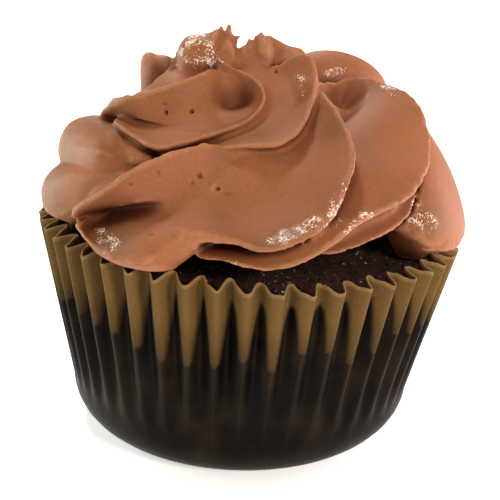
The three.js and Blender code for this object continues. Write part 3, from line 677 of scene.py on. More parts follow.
def sponge_material(cake):
    """Dark chocolate sponge: an open crumb, moist, with small painted glints, pale dots of colour in place
    of light caught by the crumb.
    """
    material, tree = new_material("chocolate_sponge")
    place = add_node(tree, COORDINATES).outputs["Object"]
    pores = add_node(tree, NOISE, Vector=place, Scale=1 / cake.crumb, Detail=5.0, Roughness=0.65)
    ramp = add_node(tree, RANGE, Value=pores, From_Min=0.3, From_Max=0.7, To_Min=0.35, To_Max=1.5)
    tone = add_node(tree, VECTOR, SCALED, i0=cake.colour[:3], Scale=ramp)
    # Painted glints: pale dots about 0.2 mm wide, some 0.7 mm apart.
    sparkle_noise = add_node(tree, NOISE, Vector=place, Scale=1500.0, Detail=1.0)
    dots = add_node(tree, RANGE, SMOOTH, Value=sparkle_noise, From_Min=0.7, From_Max=0.76, To_Max=0.6)
    dotted = add_node(tree, MIX, COLOURS, Factor=dots, i6=tone, i7=cake.glint)
    # The crumb's own grain, 0.4 mm, with moist spots.
    fine = add_node(tree, NOISE, Vector=place, Scale=2600.0, Detail=3.0)
    shine = add_node(tree, RANGE, Value=fine, From_Min=0.54, From_Max=0.64, To_Min=0.75, To_Max=0.12)
    bump = add_node(tree, BUMP, Strength=0.8, Distance=0.0003, Height=fine)
    shader = add_node(tree, PRINCIPLED, Base_Color=dotted.outputs[2], Roughness=shine, Normal=bump,
                      IOR=1.45)
    add_node(tree, OUTPUT, Surface=shader)
    return material


class MESH_OT_cake(bpy.types.Operator):
    """Makes the sponge that fills the case"""

    bl_idname = "mesh.cupcake_cake"
    bl_label = "Cake"
    bl_options = {"REGISTER", "UNDO"}

    def execute(self, context):
        scene = context.scene
        case, cake = scene.cupcake_case, scene.cupcake_cake
        edge = cake_edge(case)
        piece = start_profile("sponge", 160, case.base_radius, CAKE_GAP)
        for radius, height in heel_profile(case, CAKE_GAP, 5):
            profile_ring(piece, radius, height)
        heel, side = case.heel_radius - CAKE_GAP, cake.edge_height - CAKE_CORNER
        for share in (0.25, 0.5, 0.75, 1):
            profile_ring(piece, heel + (edge - heel) * share,
                         case.heel_height + (side - case.heel_height) * share)
        for share in (0.25, 0.5, 0.75, 1):
            angle = math.pi / 2 * share
            profile_ring(piece, edge - CAKE_CORNER * (1 - math.cos(angle)),
                         side + CAKE_CORNER * math.sin(angle))
        for radius in np.linspace(edge - CAKE_CORNER, 0.5 * MM, 24)[1:]:
            profile_ring(piece, radius, cake_top(radius, cake, edge))
        bpy.ops.mesh.edge_face_add()
        end_profile()
        write_points(piece.data, lean(read_points(piece.data), case.height))
        apply_modifier(piece, "REMESH", mode="VOXEL", voxel_size=CRUMB_VOXEL)
        top = piece.vertex_groups.new(name="top")
        points = read_points(piece.data)
        weight = smooth_step((points[:, 2] - CRUMB_START) / CRUMB_BLEND)
        for index in np.nonzero(weight > 0.01)[0]:
            top.add([int(index)], float(weight[index]), "REPLACE")
        for name, size, strength in CRUMB:
            apply_modifier(piece, "DISPLACE", texture=cloud(name, size), strength=strength,
                           mid_level=0.62, texture_coords="LOCAL", vertex_group="top")
        self.stay_clear(piece, case, edge)
        finish_piece(piece, "cake", sponge_material(cake))
        return {"FINISHED"}

    def stay_clear(self, piece, case, edge):
        """Keeps the crumb inside the paper."""
        points = read_points(piece.data)
        centre = RIM_SHIFT * points[:, 2] / case.height
        radius = np.hypot(points[:, 0] - centre, points[:, 1])
        share = wall_share(points, case)
        most = case.heel_radius - HEEL_GAP + (edge - case.heel_radius + RIM_SLACK) * share
        scale = np.where(radius > most, most / np.maximum(radius, TINY), 1)
        points[:, 0] = centre + (points[:, 0] - centre) * scale
        points[:, 1] *= scale
        write_points(piece.data, points)


# ---- the frosting ----------------------------------------------------------------------------

# Samples of a curve between two of its points, before they are spread evenly.
SPAN_SAMPLES = 40
# The swirl's axis, in millimetres beside that of the case.
SWIRL_CENTRE = 0.8
# How the finish reads the relief: smoothing passes that a thin lip and a broad fold stand out from, for a
# painted highlight on the lips and painted shade in the folds, and the heights above them in millimetres
# where a lip starts and how much more makes a whole one, for the fraying and for the painted highlight.
LIP_PASSES, FOLD_PASSES = 8, 90
FRAYED_LIP, PALE_LIP = (0.03, 0.09), (0.05, 0.1)
# Noise that frays the lips: waves per millimetre, and how far each moves them in millimetres.
FRAY = ((0.5, 0.2), (1.6, 0.07))
# A pit's depth in radii, and the reach in radii of the finer faces around it.
PIT_DEPTH, PIT_PATCH = 1.5, 1.7
# A fold, where painted shade goes, is a place where most directions are blocked: share where it starts,
# and how much more makes a whole one. The rays fan out evenly by the golden angle from a slightly turned
# side.
FOLD_START, FOLD_SPAN = 0.16, 0.75
GOLDEN_ANGLE = 2.39996
TURNED = (0.31, 0.52, 0.79)


def on_swirl(path):
    """Points in mm of a path given as azimuth, distance from the swirl's axis and height."""
    path = np.array(path, float)
    angle = np.radians(path[:, 0])
    return np.stack([SWIRL_CENTRE + path[:, 1] * np.cos(angle),
                     path[:, 1] * np.sin(angle), path[:, 2]], -1)


def curve_through(points, count):
    """A centripetal Catmull-Rom curve through the points, sampled evenly along its length."""
    padded = np.vstack([2 * points[0] - points[1], points, 2 * points[-1] - points[-2]])
    knots = np.concatenate([[0], np.cumsum(np.linalg.norm(np.diff(padded, axis=0), axis=1) ** 0.5)])
    dense = []
    for i in range(1, len(padded) - 2):
        p0, p1, p2, p3 = padded[i - 1 : i + 3]
        t0, t1, t2, t3 = knots[i - 1 : i + 3]
        t = np.linspace(t1, t2, SPAN_SAMPLES, endpoint=i == len(padded) - 3)[:, None]
        a1 = (t1 - t) / (t1 - t0) * p0 + (t - t0) / (t1 - t0) * p1
        a2 = (t2 - t) / (t2 - t1) * p1 + (t - t1) / (t2 - t1) * p2
        a3 = (t3 - t) / (t3 - t2) * p2 + (t - t2) / (t3 - t2) * p3
        b1 = (t2 - t) / (t2 - t0) * a1 + (t - t0) / (t2 - t0) * a2
        b2 = (t3 - t) / (t3 - t1) * a2 + (t - t1) / (t3 - t1) * a3
        dense.append((t2 - t) / (t2 - t1) * b1 + (t - t1) / (t2 - t1) * b2)
    dense = np.vstack(dense)
    run = np.concatenate([[0], np.cumsum(np.linalg.norm(np.diff(dense, axis=0), axis=1))])
    even = np.linspace(0, run[-1], count)
    return np.stack([np.interp(even, run, dense[:, i]) for i in range(3)], -1), run[-1]


def shoulder(share, length_share):
    """Round shoulder from 0 at the end of a ridge to 1 after a share of its length."""
    short = 1 - np.minimum(share / length_share, 1)
    return np.sqrt(1 - short * short)


def ridge_section(reach, depth, slope, belly):
    """Cross-section of a hollow ridge, and of a full one with the same number of corners."""
    if slope > 0:
        under = full_under = [(turn * slope, part) for turn, part in SLOPING_FACE]
    else:
        under = UNDERCUT_FACE
        full_under = [(turn * belly, part) for turn, part in FULL_UNDER_FACE]
    upper = [(turn * reach, 1 - (1 - part) * depth) for turn, part in UPPER_FACE]
    sections = []
    for face in (under + LIP + upper, full_under + FULL_LIP + FULL_UPPER_FACE):
        sections.append(np.array(face + [(face[-1][0], ROOT), (face[0][0], ROOT)]))
    return sections


def eased(values, window):
    """Running mean over a window, so that a bend in a path doesn't fold its sections."""
    window = max(window, 1)
    padded = np.pad(values, ((window, window), (0, 0)), mode="edge")
    total = np.cumsum(np.vstack([np.zeros(values.shape[1]), padded]), axis=0)
    span = 2 * window + 1
    return (total[span:] - total[:-span]) / span


def face_between(lip, valley, centre, fill, swell, sag, puff):
    """A sagging face from a lip to the valley line beside it, and its root in the core."""
    edge, _ = curve_through(on_swirl(valley), len(lip))
    edge = centre + (edge - centre) * fill[:, None]
    share = (np.arange(1, ACROSS + 1) / ACROSS)[None, :, None] ** CROWDING
    face = lip[:, None] + (edge - lip)[:, None] * share
    inward = centre[:, None] - face
    inward /= np.linalg.norm(inward, axis=2, keepdims=True)
    width = np.linalg.norm(edge - lip, axis=1)[:, None, None]
    hang = sag * (1 - (1 + puff) * swell)[:, None, None]
    face = face + inward * width * hang * 4 * share * (1 - share)
    return face, (centre + (edge - centre) * ROOT)[:, None]


def closed_mesh(name, rings, first_end, last_end):
    """A mesh in metres through rings of points in mm, closed by a point at each end."""
    steps, count = rings.shape[:2]
    vertices = np.vstack([rings.reshape(-1, 3), first_end, last_end]) * MM
    last = (steps - 1) * count
    faces = []
    for i in range(count):
        j = (i + 1) % count
        faces += [(a + i, a + count + i, a + count + j, a + j) for a in range(0, last, count)]
        faces += [(i, j, steps * count), (last + j, last + i, steps * count + 1)]
    mesh = bpy.data.meshes.new(name)
    mesh.from_pydata(vertices.tolist(), [], faces)
    return mesh


def ridge_mesh(tier, path, reach=1.0, depth=1.0, blunt=0.07, slope=0.0, full=0.0,
               belly=16.0, sag=SAG, puff=1.0, foot=None, head=None):
    """One ridge in metres: its cross-section set square to its path, closed at both ends.
    "reach" and "depth" scale its upper face, and "blunt" is its near shoulder's share of its
    length. It is a full lobe over the first "full" share of its length, and then hollows. A
    full lobe swells by "belly" degrees under its lip. "foot" and "head" are the valley lines
    below and above it, where they aren't left to the cross-section: the faces to them sag by
    "sag", and stand out by "puff" times that where the ridge is full."""
    points = on_swirl(path)
    _, total = curve_through(points, 10)
    steps = max(int(total / STEP), 24)
    lip, _ = curve_through(points, steps)
    share = np.linspace(0, 1, steps)
    along = eased(np.gradient(lip, axis=0), int(EASE / total * steps))
    along /= np.linalg.norm(along, axis=1, keepdims=True)
    angle = np.degrees(np.arctan2(lip[:, 1], lip[:, 0] - SWIRL_CENTRE))
    core = on_swirl(np.stack([angle, np.full(steps, tier["radius"]),
                              np.full(steps, tier["height"])], -1))
    out = lip - core
    distance = np.linalg.norm(out, axis=1, keepdims=True)
    out -= (out * along).sum(1, keepdims=True) * along
    out /= np.linalg.norm(out, axis=1, keepdims=True)
    up = np.cross(out, along)
    shoulders = np.minimum(shoulder(share, blunt), shoulder(1 - share, FAR_SHOULDER))
    fill = END_SIZE + END_GROWTH * shoulders
    centre = lip - out * distance
    hollow, plump = ridge_section(reach, depth, slope, belly)
    fullness = 1 - smooth_step(2 * share / full - 1) if full else np.zeros(steps)
    section = hollow + (plump - hollow) * fullness[:, None, None]
    turn, part = np.radians(section[..., :1]), section[..., 1:]
    grid = centre[:, None] + (distance * fill[:, None])[:, None] * part * (
        out[:, None] * np.cos(turn) + up[:, None] * np.sin(turn))
    under = len(UNDERCUT_FACE if slope == 0 else SLOPING_FACE)
    below, lips, over = np.split(grid[:, :-2], [under, under + len(LIP)], axis=1)
    high, low = grid[:, -2:-1], grid[:, -1:]
    if foot:
        below, low = face_between(lips[:, 0], foot, centre, fill, 0 * fill, sag, puff)
        below = below[:, ::-1]
    if head:
        over, high = face_between(lips[:, -1], head, centre, fill, fullness, sag, puff)
    grid = np.concatenate([below, lips, over, high, low], 1)
    return closed_mesh("ridge", grid, grid[0].mean(0), grid[-1].mean(0))


def petal_mesh(outline, back, half):
    """An upright petal in metres, domed at front and back."""
    edge = np.array([(x, back, height) for x, height in [*outline, outline[0]]], float)
    edge, _ = curve_through(edge, 64)
    middle, forward = edge.mean(0), np.array([0, half, 0])
    # Rings from back to front, with an angle just short of a quarter turn at both.
    rings = [middle + (edge - middle) * math.cos(turn) ** 0.6 + forward * math.sin(turn)
             for turn in np.linspace(1.5, -1.5, 17)]
    return closed_mesh("petal", np.array(rings), middle + forward, middle - forward)


def neighbours_mean(mesh):
    """A function that gives, for each vertex, the mean of a value over its neighbours."""
    ends = np.empty(len(mesh.edges) * 2, dtype=int)
    mesh.edges.foreach_get("vertices", ends)
    first, second = ends[0::2], ends[1::2]
    count = len(mesh.vertices)
    share = 1 / np.maximum(np.bincount(ends, minlength=count), 1)

    def mean(values):
        return np.stack([(np.bincount(first, column[second], count)
                          + np.bincount(second, column[first], count)) * share
                         for column in values.T], -1)

    return mean


def fill_creases(mesh, passes):
    """Softens the valleys between ridges, as the paste does, and leaves the lips sharp."""
    points, normals, mean = read_points(mesh), read_normals(mesh), neighbours_mean(mesh)
    for _ in range(passes):
        inward = ((mean(points) - points) * normals).sum(1, keepdims=True)
        points = points + np.maximum(inward, 0) * normals
    write_points(mesh, points)


def near(points, place, reach):
    """1 at a place on the swirl, falling smoothly to 0 at its reach in mm."""
    distance = np.linalg.norm(points - on_swirl([place])[0] * MM, axis=1)
    return smooth_step(1 - distance / (reach * MM))


def smear(mesh, passes=70):
    """Smooths away the line between ridges that were smeared into one."""
    points, mean = read_points(mesh), neighbours_mean(mesh)
    weight = np.clip(sum(near(points, *spot) for spot in SMEARS) * 2, 0, 1)[:, None]
    for _ in range(passes):
        points += (mean(points) - points) * weight
    write_points(mesh, points)


def relief(mesh, passes):
    """How far each point lies below the mean of the surface around it, in mm."""
    points, mean = read_points(mesh), neighbours_mean(mesh)
    around = points
    for _ in range(passes):
        around = mean(around)
    return ((around - points) * read_normals(mesh)).sum(1) / MM


def lips_of(mesh, start, span):
    """1 on the thin lips, 0 away from them."""
    return smooth_step((-relief(mesh, LIP_PASSES) - start) / span)


def fray_lips(mesh):
    """Makes the thin lips slightly uneven, as torn paste is."""
    points, normals = read_points(mesh), read_normals(mesh)
    lip = lips_of(mesh, *FRAYED_LIP)
    for index in np.nonzero(lip > 0.02)[0]:
        place = Vector(points[index]) / MM
        shift = sum(noise.noise(place * waves) * most for waves, most in FRAY)
        points[index] += normals[index] * lip[index] * shift * MM
    write_points(mesh, points)


def press_pockets(mesh):
    """Presses each pocket in against the way that its surface faces."""
    points, normals = read_points(mesh), read_normals(mesh)
    for place, reach, depth in POCKETS:
        weight = near(points, place, reach)[:, None]
        way = (normals * weight).sum(0)
        points -= way / np.linalg.norm(way) * weight * depth * MM
    write_points(mesh, points)


def near_line(points, path, reach):
    """1 on a line over the swirl, falling smoothly to 0 at its reach in mm, and the share of
    the line's length at which each point is nearest to it."""
    line, length = curve_through(on_swirl(path), 80)
    weight, share = np.zeros(len(points)), np.zeros(len(points))
    middle = line.mean(0) * MM
    close = np.nonzero(np.linalg.norm(points - middle, axis=1) < (length / 2 + reach) * 1.3 * MM)[0]
    apart = np.linalg.norm(points[close][:, None] - line[None] * MM, axis=2)
    weight[close] = smooth_step(1 - apart.min(1) / (reach * MM))
    share[close] = apart.argmin(1) / (len(line) - 1)
    return weight, share


def press_grooves(mesh):
    """Presses the grooves in towards the swirl's axis: open at their start, fading to their end."""
    points = read_points(mesh)
    for groove in GROOVES:
        weight, share = near_line(points, groove["path"], groove["reach"])
        weight *= smooth_step((1 - share) * 2.2) * smooth_step(share * 7 + 0.3)
        way = np.array([SWIRL_CENTRE * MM, 0, 0]) - points
        way[:, 2] = 0
        way /= np.linalg.norm(way, axis=1, keepdims=True) + TINY
        way[:, 2] = groove["rise"]
        points += way * weight[:, None] * groove["depth"] * MM
    write_points(mesh, points)


def press_pits(mesh):
    """Round pits, each in a patch of finer faces."""
    points, places = read_points(mesh), []
    for place, width in PITS:
        distance = np.linalg.norm(points - on_swirl([place])[0] * MM, axis=1)
        places.append((points[np.argmin(distance)].copy(), width * MM / 2))
    edit = bmesh.new()
    edit.from_mesh(mesh)
    fine = {edge for edge in edit.edges for middle, radius in places
            if (edge.verts[0].co - Vector(middle)).length < radius * PIT_PATCH}
    bmesh.ops.subdivide_edges(edit, edges=list(fine), cuts=2, use_grid_fill=True)
    bmesh.ops.triangulate(edit, faces=[face for face in edit.faces if len(face.verts) > 4])
    edit.to_mesh(mesh)
    edit.free()
    points, normals = read_points(mesh), read_normals(mesh)
    for middle, radius in places:
        distance = np.linalg.norm(points - middle, axis=1) / radius
        bowl = np.sqrt(np.clip(1 - distance**2, 0, 1)) * radius * PIT_DEPTH
        points -= normals * bowl[:, None]
    write_points(mesh, points)


def enclosure(mesh, reach=7 * MM, rays=14):
    """Share of the directions out from each point that meet the frosting again nearby."""
    points, normals = read_points(mesh), read_normals(mesh)
    faces = [tuple(face.vertices) for face in mesh.polygons]
    tree = BVHTree.FromPolygons(points.tolist(), faces)
    side = np.cross(normals, TURNED)
    side /= np.linalg.norm(side, axis=1, keepdims=True)
    other = np.cross(normals, side)
    blocked = np.zeros(len(points))
    # Just off the surface, so that a ray doesn't meet the face that it leaves.
    start = (points + normals * 0.05 * MM).tolist()
    for ray in range(rays):
        sine, turn = math.sqrt((ray + 0.5) / rays), ray * GOLDEN_ANGLE
        way = (side * sine * math.cos(turn) + other * sine * math.sin(turn)
               + normals * math.sqrt(1 - sine * sine))
        blocked += [tree.ray_cast(a, b, reach)[0] is not None for a, b in zip(start, way.tolist())]
    mean, share = neighbours_mean(mesh), blocked[:, None] / rays
    for _ in range(3):
        share = mean(share)
    return share[:, 0]


def add_shading(mesh):
    """Point attributes for the finish: how deep in a fold, for painted shade, how near a lip, for a
    painted highlight, and how torn, for roughness, bump and painted sparkles.
    """
    # Painted shade in the folds: the share of blocked rays, plus the hollows of the relief.
    fold = smooth_step((enclosure(mesh) - FOLD_START) / FOLD_SPAN)
    fold = np.clip(fold + 0.2 * np.clip(relief(mesh, FOLD_PASSES), 0, 1), 0, 1)
    lip = lips_of(mesh, *PALE_LIP)
    points = read_points(mesh)
    # A patch is whole well within its reach, and the lips glisten a little too.
    glint = sum(near_line(points, **patch)[0] for patch in GLINTS) * 1.4 + 0.42 * lip
    glint = np.clip(glint, 0, 1)
    for name, values in (("fold", fold), ("lip", lip), ("glint", glint)):
        layer = mesh.attributes.new(name, "FLOAT", "POINT")
        layer.data.foreach_set("value", values.astype(np.float32))


def link(mesh, name):
    piece = bpy.data.objects.new(name, mesh)
    bpy.context.collection.objects.link(piece)
    return piece


def even_ridges(rule):
    """The like ridges of one tier, each turned to its azimuth."""
    for azimuth in rule["azimuths"]:
        yield {"path": [(azimuth + turn, radius, height) for turn, radius, height in rule["path"]],
               "full": rule["full"], "slope": rule["slope"]}


def buttercream_material(frosting):
    """Chocolate buttercream: satin, a little translucent, with a painted highlight that makes its lips
    paler and painted shade that makes its folds redder and darker, wet where it was torn, with painted
    sparkles there, and cocoa gathered in patches."""
    material, tree = new_material("chocolate_buttercream")
    place = add_node(tree, COORDINATES).outputs["Object"]
    fold, lip, glint = [add_node(tree, ATTRIBUTE, {"attribute_name": name}).outputs["Fac"]
                        for name in ("fold", "lip", "glint")]
    # Cocoa gathers in patches about 14 mm wide.
    patches = add_node(tree, NOISE, Vector=place, Scale=70.0, Detail=3.0)
    mix = add_node(tree, RANGE, SMOOTH, Value=patches, From_Min=0.42, From_Max=0.66)
    tone = add_node(tree, MIX, COLOURS, Factor=mix, i6=frosting.colour, i7=frosting.shade)
    # Painted shade: the folds are mixed towards the darker, redder fold colour.
    depth = add_node(tree, RANGE, SMOOTH, Value=fold, To_Max=0.88)
    deep = add_node(tree, MIX, COLOURS, Factor=depth, i6=tone.outputs[2], i7=frosting.fold)
    # Painted highlight: the thin lips are made paler.
    thin = add_node(tree, RANGE, Value=lip, To_Max=0.3)
    lips = add_node(tree, MIX, COLOURS, Factor=thin, i6=deep.outputs[2], i7=frosting.lip)
    # Torn paste lies in clumps about 2 mm wide, with painted sparkles: pale dots 0.3 mm apart in place of
    # glints of light.
    clumps = add_node(tree, NOISE, Vector=place, Scale=520.0, Detail=4.0)
    tear_and_sparkle = add_node(tree, MATH, TIMES, i0=glint, i1=clumps)
    sparkle_noise = add_node(tree, NOISE, Vector=place, Scale=3400.0, Detail=1.0)
    some = add_node(tree, MATH, TIMES, i0=sparkle_noise, i1=tear_and_sparkle)
    dots = add_node(tree, RANGE, SMOOTH, Value=some, From_Min=0.24, From_Max=0.38, To_Max=0.9)
    dotted = add_node(tree, MIX, COLOURS, Factor=dots, i6=lips.outputs[2], i7=frosting.painted_sparkle)
    # Whipped paste has a fine grain, drawn at 0.6 mm, coarser than the real one, so that it shows.
    grain = add_node(tree, NOISE, Vector=place, Scale=1800.0, Detail=2.0)
    fleck = add_node(tree, RANGE, Value=grain, From_Min=0.3, From_Max=0.7, To_Min=0.92, To_Max=1.07)
    shaded = add_node(tree, VECTOR, SCALED, i0=dotted.outputs[2], Scale=fleck)
    wet = add_node(tree, RANGE, SMOOTH, Value=tear_and_sparkle, From_Min=0.3, From_Max=0.5, To_Min=0.6, To_Max=0.2)
    # The torn surface breaks up every 0.4 mm.
    crags = add_node(tree, NOISE, Vector=place, Scale=2300.0, Detail=2.0)
    torn = add_node(tree, RANGE, Value=tear_and_sparkle, From_Min=0.1, From_Max=0.5, To_Min=0.12, To_Max=0.9)
    rise = add_node(tree, MATH, TIMES, i0=crags, i1=torn)
    bump = add_node(tree, BUMP, Strength=0.8, Distance=0.00018, Height=rise)
    shader = add_node(tree, PRINCIPLED, Base_Color=shaded, Roughness=wet, Normal=bump, IOR=1.46,
                      Specular_IOR_Level=0.32, Subsurface_Weight=0.12,
                      Subsurface_Radius=(1.0, 0.45, 0.25), Subsurface_Scale=0.0012)
    add_node(tree, OUTPUT, Surface=shader)
    return material


class MESH_OT_frosting(bpy.types.Operator):
    """Makes the piped swirl of frosting"""

    bl_idname = "mesh.cupcake_frosting"
    bl_label = "Frosting"
    bl_options = {"REGISTER", "UNDO"}

    most_triangles: IntProperty(name="Most triangles", description="Size of the finished mesh",
                                default=186000)

    def execute(self, context):
        scene = context.scene
        frosting = scene.cupcake_frosting
        bodies = [self.core(tier) for tier in (LOWER, UPPER, BETWEEN)]
        bodies += [self.lobe(**shape) for shape in LOBES]
        bodies += [link(petal_mesh(**shape), "petal") for shape in PETALS]
        bodies += [self.wisp(*shape) for shape in WISPS]
        for tier, ridges, rule in ((LOWER, LOWER_RIDGES, LOWER_EVEN),
                                   (UPPER, UPPER_RIDGES, UPPER_EVEN)):
            bodies += [link(ridge_mesh(tier, **shape), "ridge")
                       for shape in (*ridges, *even_ridges(rule))]
        pick(*bodies)
        bpy.ops.object.join()
        piece = context.object
        piece.name = "piped_swirl"
        bpy.ops.object.transform_apply(location=True, rotation=True, scale=True)
        apply_modifier(piece, "REMESH", mode="VOXEL", voxel_size=frosting.detail)
        self.keep_largest(piece)
        apply_modifier(piece, "SMOOTH", factor=0.5, iterations=4)
        fill_creases(piece.data, passes=3)
        smear(piece.data)
        press_pockets(piece.data)
        press_grooves(piece.data)
        fray_lips(piece.data)
        self.sit_on_cake(piece, scene)
        triangles = sum(len(face.vertices) - 2 for face in piece.data.polygons)
        if triangles > self.most_triangles:
            apply_modifier(piece, "DECIMATE", ratio=self.most_triangles / triangles)
        press_pits(piece.data)
        add_shading(piece.data)
        finish_piece(piece, "frosting", buttercream_material(frosting))
        return {"FINISHED"}

    def core(self, tier):
        """The ring of rope that a tier's ridges stand on, and a plug in its hole."""
        radius, rise = tier["radius"] * MM, tier["rise"] * MM
        centre, height = SWIRL_CENTRE * MM, tier["height"] * MM
        deselect()
        bpy.ops.mesh.primitive_torus_add(major_radius=radius, minor_radius=tier["width"] * MM,
                                         major_segments=96, minor_segments=32,
                                         location=(centre, 0, height))
        ring = bpy.context.object
        ring.scale.z = tier["rise"] / tier["width"]
        deselect()
        bpy.ops.mesh.primitive_cylinder_add(vertices=96, radius=radius, depth=rise * 1.8,
                                            location=(centre, 0, height - rise * 0.1))
        middle = bpy.context.object
        pick(ring, middle)
        bpy.ops.object.join()
        return ring

    def lobe(self, at, half, lean=0, square=1):
        """A rounded swelling of the rope."""
        deselect()
        middle = on_swirl([at])[0] * MM
        bpy.ops.mesh.primitive_uv_sphere_add(segments=64, ring_count=32, radius=1.0)
        ball = bpy.context.object
        points = read_points(ball.data)
        write_points(ball.data, np.sign(points) * np.abs(points) ** square)
        along, out, up = half
        for change in (Matrix.Diagonal((out * MM, along * MM, up * MM, 1)),
                       Matrix.Rotation(math.radians(at[0]), 4, "Z"),
                       Matrix.Rotation(math.radians(lean), 4, "Y"), Matrix.Translation(middle)):
            ball.data.transform(change)
        return ball

    def wisp(self, root, tip, width):
        """A thread of paste, drawn out to a point."""
        deselect()
        root, tip = Vector(root) * MM, Vector(tip) * MM
        way = tip - root
        bpy.ops.mesh.primitive_cone_add(vertices=16, radius1=width * MM, radius2=width * 0.3 * MM,
                                        depth=way.length, location=(root + tip) / 2,
                                        rotation=way.to_track_quat("Z", "Y").to_euler())
        return bpy.context.object

    def keep_largest(self, piece):
        """Drops sealed hollows and loose scraps left by the join."""
        edit = bmesh.new()
        edit.from_mesh(piece.data)
        islands, seen = [], set()
        for start in edit.verts:
            if start.index in seen:
                continue
            stack, island = [start], []
            seen.add(start.index)
            while stack:
                vertex = stack.pop()
                island.append(vertex)
                for edge in vertex.link_edges:
                    other = edge.other_vert(vertex)
                    if other.index not in seen:
                        seen.add(other.index)
                        stack.append(other)
            islands.append(island)
        islands.sort(key=len)
        for island in islands[:-1]:
            bmesh.ops.delete(edit, geom=island, context="VERTS")
        edit.to_mesh(piece.data)
        edit.free()

    def sit_on_cake(self, piece, scene):
        """Flattens the underside onto the cake's top and over the paper's rim."""
        case, cake, gap = scene.cupcake_case, scene.cupcake_cake, scene.cupcake_frosting.gap
        edge = cake_edge(case)
        points = read_points(piece.data)
        radius = np.hypot(points[:, 0] - RIM_SHIFT, points[:, 1])
        over_rim = case.height + VALLEY_LIFT + gap
        inner = cake_top(np.minimum(radius, edge), cake, edge) + gap
        floor = inner + (over_rim - inner) * smooth_step((radius - edge + MM) / MM)
        floor -= RIM_LEAN * points[:, 0]
        points[:, 2] = np.maximum(points[:, 2], floor)
        write_points(piece.data, points)


# ---- floor, lights and camera ----------------------------------------------------------------

# Daylight: a direction to each light, strength, softness in degrees, and colour.
SUNS = {
    "window": ((0.72, -0.9, 0.58), 2.3, 12, "#ffecd8"),
    "skylight": ((-0.25, 0.3, 0.85), 1.55, 10, "#fffaf0"),
    "high_back": ((-0.1, 0.85, 0.5), 0.9, 14, "#fff2e4"),
}
# Softboxes turned to the frosting: place and width in metres, power in watts, and colour.
SOFTBOXES = {
    "rim_left": ((-0.30, 0.10, 0.06), 0.16, 0.9, "#d8ecec"),
    "rim_right": ((0.30, 0.10, 0.10), 0.16, 0.95, "#ffebe6"),
    "fill_left": ((-0.24, -0.10, 0.20), 0.2, 0.22, "#f6f3d2"),
}
SOFTBOX_AIM = Vector((0, 0, 45 * MM))
ROOM_LIGHT = 0.20
# Height that the camera turns about, and what it looks at.
ORBIT_HEIGHT = 17 * MM
CAMERA_AIM = Vector((1.146 * MM, 0, 28.913 * MM))


def floor_material(stage):
    """Light table: white acrylic, evenly lit from below."""
    material, tree = new_material("backlit_acrylic")
    place = add_node(tree, COORDINATES).outputs["Object"]
    # The cast sheet is uneven over about 70 mm.
    cast = add_node(tree, NOISE, Vector=place, Scale=14.0, Detail=2.0)
    tone = add_node(tree, RANGE, Value=cast, To_Min=0.985, To_Max=1.0)
    shaded = add_node(tree, VECTOR, SCALED, i0=stage.floor[:3], Scale=tone)
    shader = add_node(tree, PRINCIPLED, Base_Color=shaded, Roughness=0.7,
                      Emission_Color=stage.floor, Emission_Strength=0.6)
    add_node(tree, OUTPUT, Surface=shader)
    return material


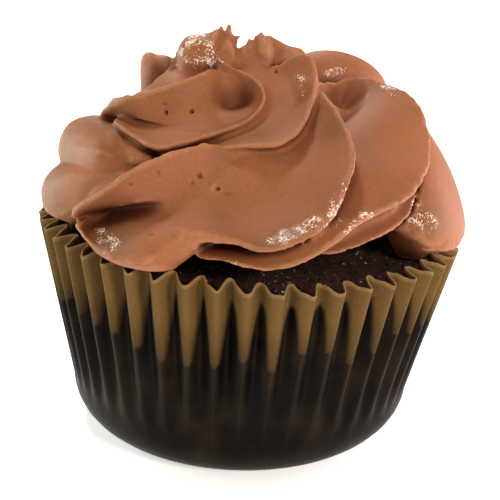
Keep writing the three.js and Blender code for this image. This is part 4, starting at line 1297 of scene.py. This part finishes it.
class SCENE_OT_stage(bpy.types.Operator):
    """Sets the floor, the lights and the camera"""

    bl_idname = "scene.cupcake_stage"
    bl_label = "Stage"
    bl_options = {"REGISTER", "UNDO"}

    def execute(self, context):
        stage = context.scene.cupcake_stage
        deselect()
        bpy.ops.mesh.primitive_plane_add(size=6.0, location=(0, 0, 0))
        floor = context.object
        floor.name = "floor"
        bpy.ops.object.mode_set(mode="EDIT")
        bpy.ops.mesh.subdivide(number_cuts=2)
        bpy.ops.object.mode_set(mode="OBJECT")
        floor.data.materials.append(floor_material(stage))
        world = bpy.data.worlds.new("studio")
        context.scene.world = world
        world.use_nodes = True
        background = world.node_tree.nodes["Background"]
        background.inputs["Color"].default_value = (1, 1, 1, 1)
        background.inputs["Strength"].default_value = ROOM_LIGHT
        for name, (place, strength, softness, code) in SUNS.items():
            sun = self.light(name, "SUN", strength, code, Vector(place))
            sun.angle = math.radians(softness)
        for name, (place, width, power, code) in SOFTBOXES.items():
            box = self.light(name, "AREA", power, code, Vector(place) - SOFTBOX_AIM, place)
            box.size = width
        self.camera(stage)
        context.scene.view_settings.view_transform = "Standard"
        return {"FINISHED"}

    def light(self, name, kind, energy, code, back, place=(0, 0, 0)):
        """A light at a place that shines along the reverse of "back"."""
        light = bpy.data.lights.new(name, kind)
        light.energy = energy
        light.color = hex_to_linear(code)[:3]
        holder = bpy.data.objects.new(name, light)
        holder.location = place
        holder.rotation_euler = back.to_track_quat("Z", "Y").to_euler()
        bpy.context.collection.objects.link(holder)
        return light

    def camera(self, stage):
        """Looks at the swirl's foot from in front and above, turned a little about its sight."""
        lens = bpy.data.cameras.new("camera")
        holder = bpy.data.objects.new("camera", lens)
        bpy.context.collection.objects.link(holder)
        lens.lens = stage.lens
        lens.clip_start = 0.005
        place = Vector((0, -stage.distance * math.cos(stage.elevation),
                        ORBIT_HEIGHT + stage.distance * math.sin(stage.elevation)))
        forward = (CAMERA_AIM - place).normalized()
        right = forward.cross(Vector((0, 0, 1))).normalized()
        up = right.cross(forward)
        across = right * math.cos(stage.roll) + up * math.sin(stage.roll)
        above = up * math.cos(stage.roll) - right * math.sin(stage.roll)
        pose = Matrix.Identity(4)
        for row in range(3):
            pose[row][0], pose[row][1] = across[row], above[row]
            pose[row][2], pose[row][3] = -forward[row], place[row]
        holder.matrix_world = pose
        bpy.context.scene.camera = holder


class VIEW3D_PT_cupcake(bpy.types.Panel):
    """Lists the cupcake's pieces in the sidebar"""

    bl_label = "Cupcake"
    bl_idname = "VIEW3D_PT_cupcake"
    bl_space_type = "VIEW_3D"
    bl_region_type = "UI"
    bl_category = "Cupcake"

    def draw(self, context):
        layout = self.layout
        for operator in OPERATORS:
            layout.operator(operator.bl_idname)
        for group in GROUPS:
            settings = getattr(context.scene, group)
            box = layout.box()
            box.label(text=group.replace("_", " "))
            for name in type(settings).__annotations__:
                box.prop(settings, name)


OPERATORS = (MESH_OT_paper_case, MESH_OT_cake, MESH_OT_frosting, SCENE_OT_stage)
GROUPS = {"cupcake_case": CaseSettings, "cupcake_cake": CakeSettings,
          "cupcake_frosting": FrostingSettings, "cupcake_stage": StageSettings}


def register():
    for group in GROUPS.values():
        bpy.utils.register_class(group)
    for operator in OPERATORS:
        bpy.utils.register_class(operator)
    bpy.utils.register_class(VIEW3D_PT_cupcake)
    for name, group in GROUPS.items():
        setattr(bpy.types.Scene, name, PointerProperty(type=group))


def unregister():
    for name in GROUPS:
        delattr(bpy.types.Scene, name)
    bpy.utils.unregister_class(VIEW3D_PT_cupcake)
    for each in (*OPERATORS, *GROUPS.values()):
        bpy.utils.unregister_class(each)


def main():
    register()
    bpy.ops.mesh.cupcake_paper_case()
    bpy.ops.mesh.cupcake_cake()
    bpy.ops.mesh.cupcake_frosting()
    bpy.ops.scene.cupcake_stage()


if __name__ == "__main__":
    main()
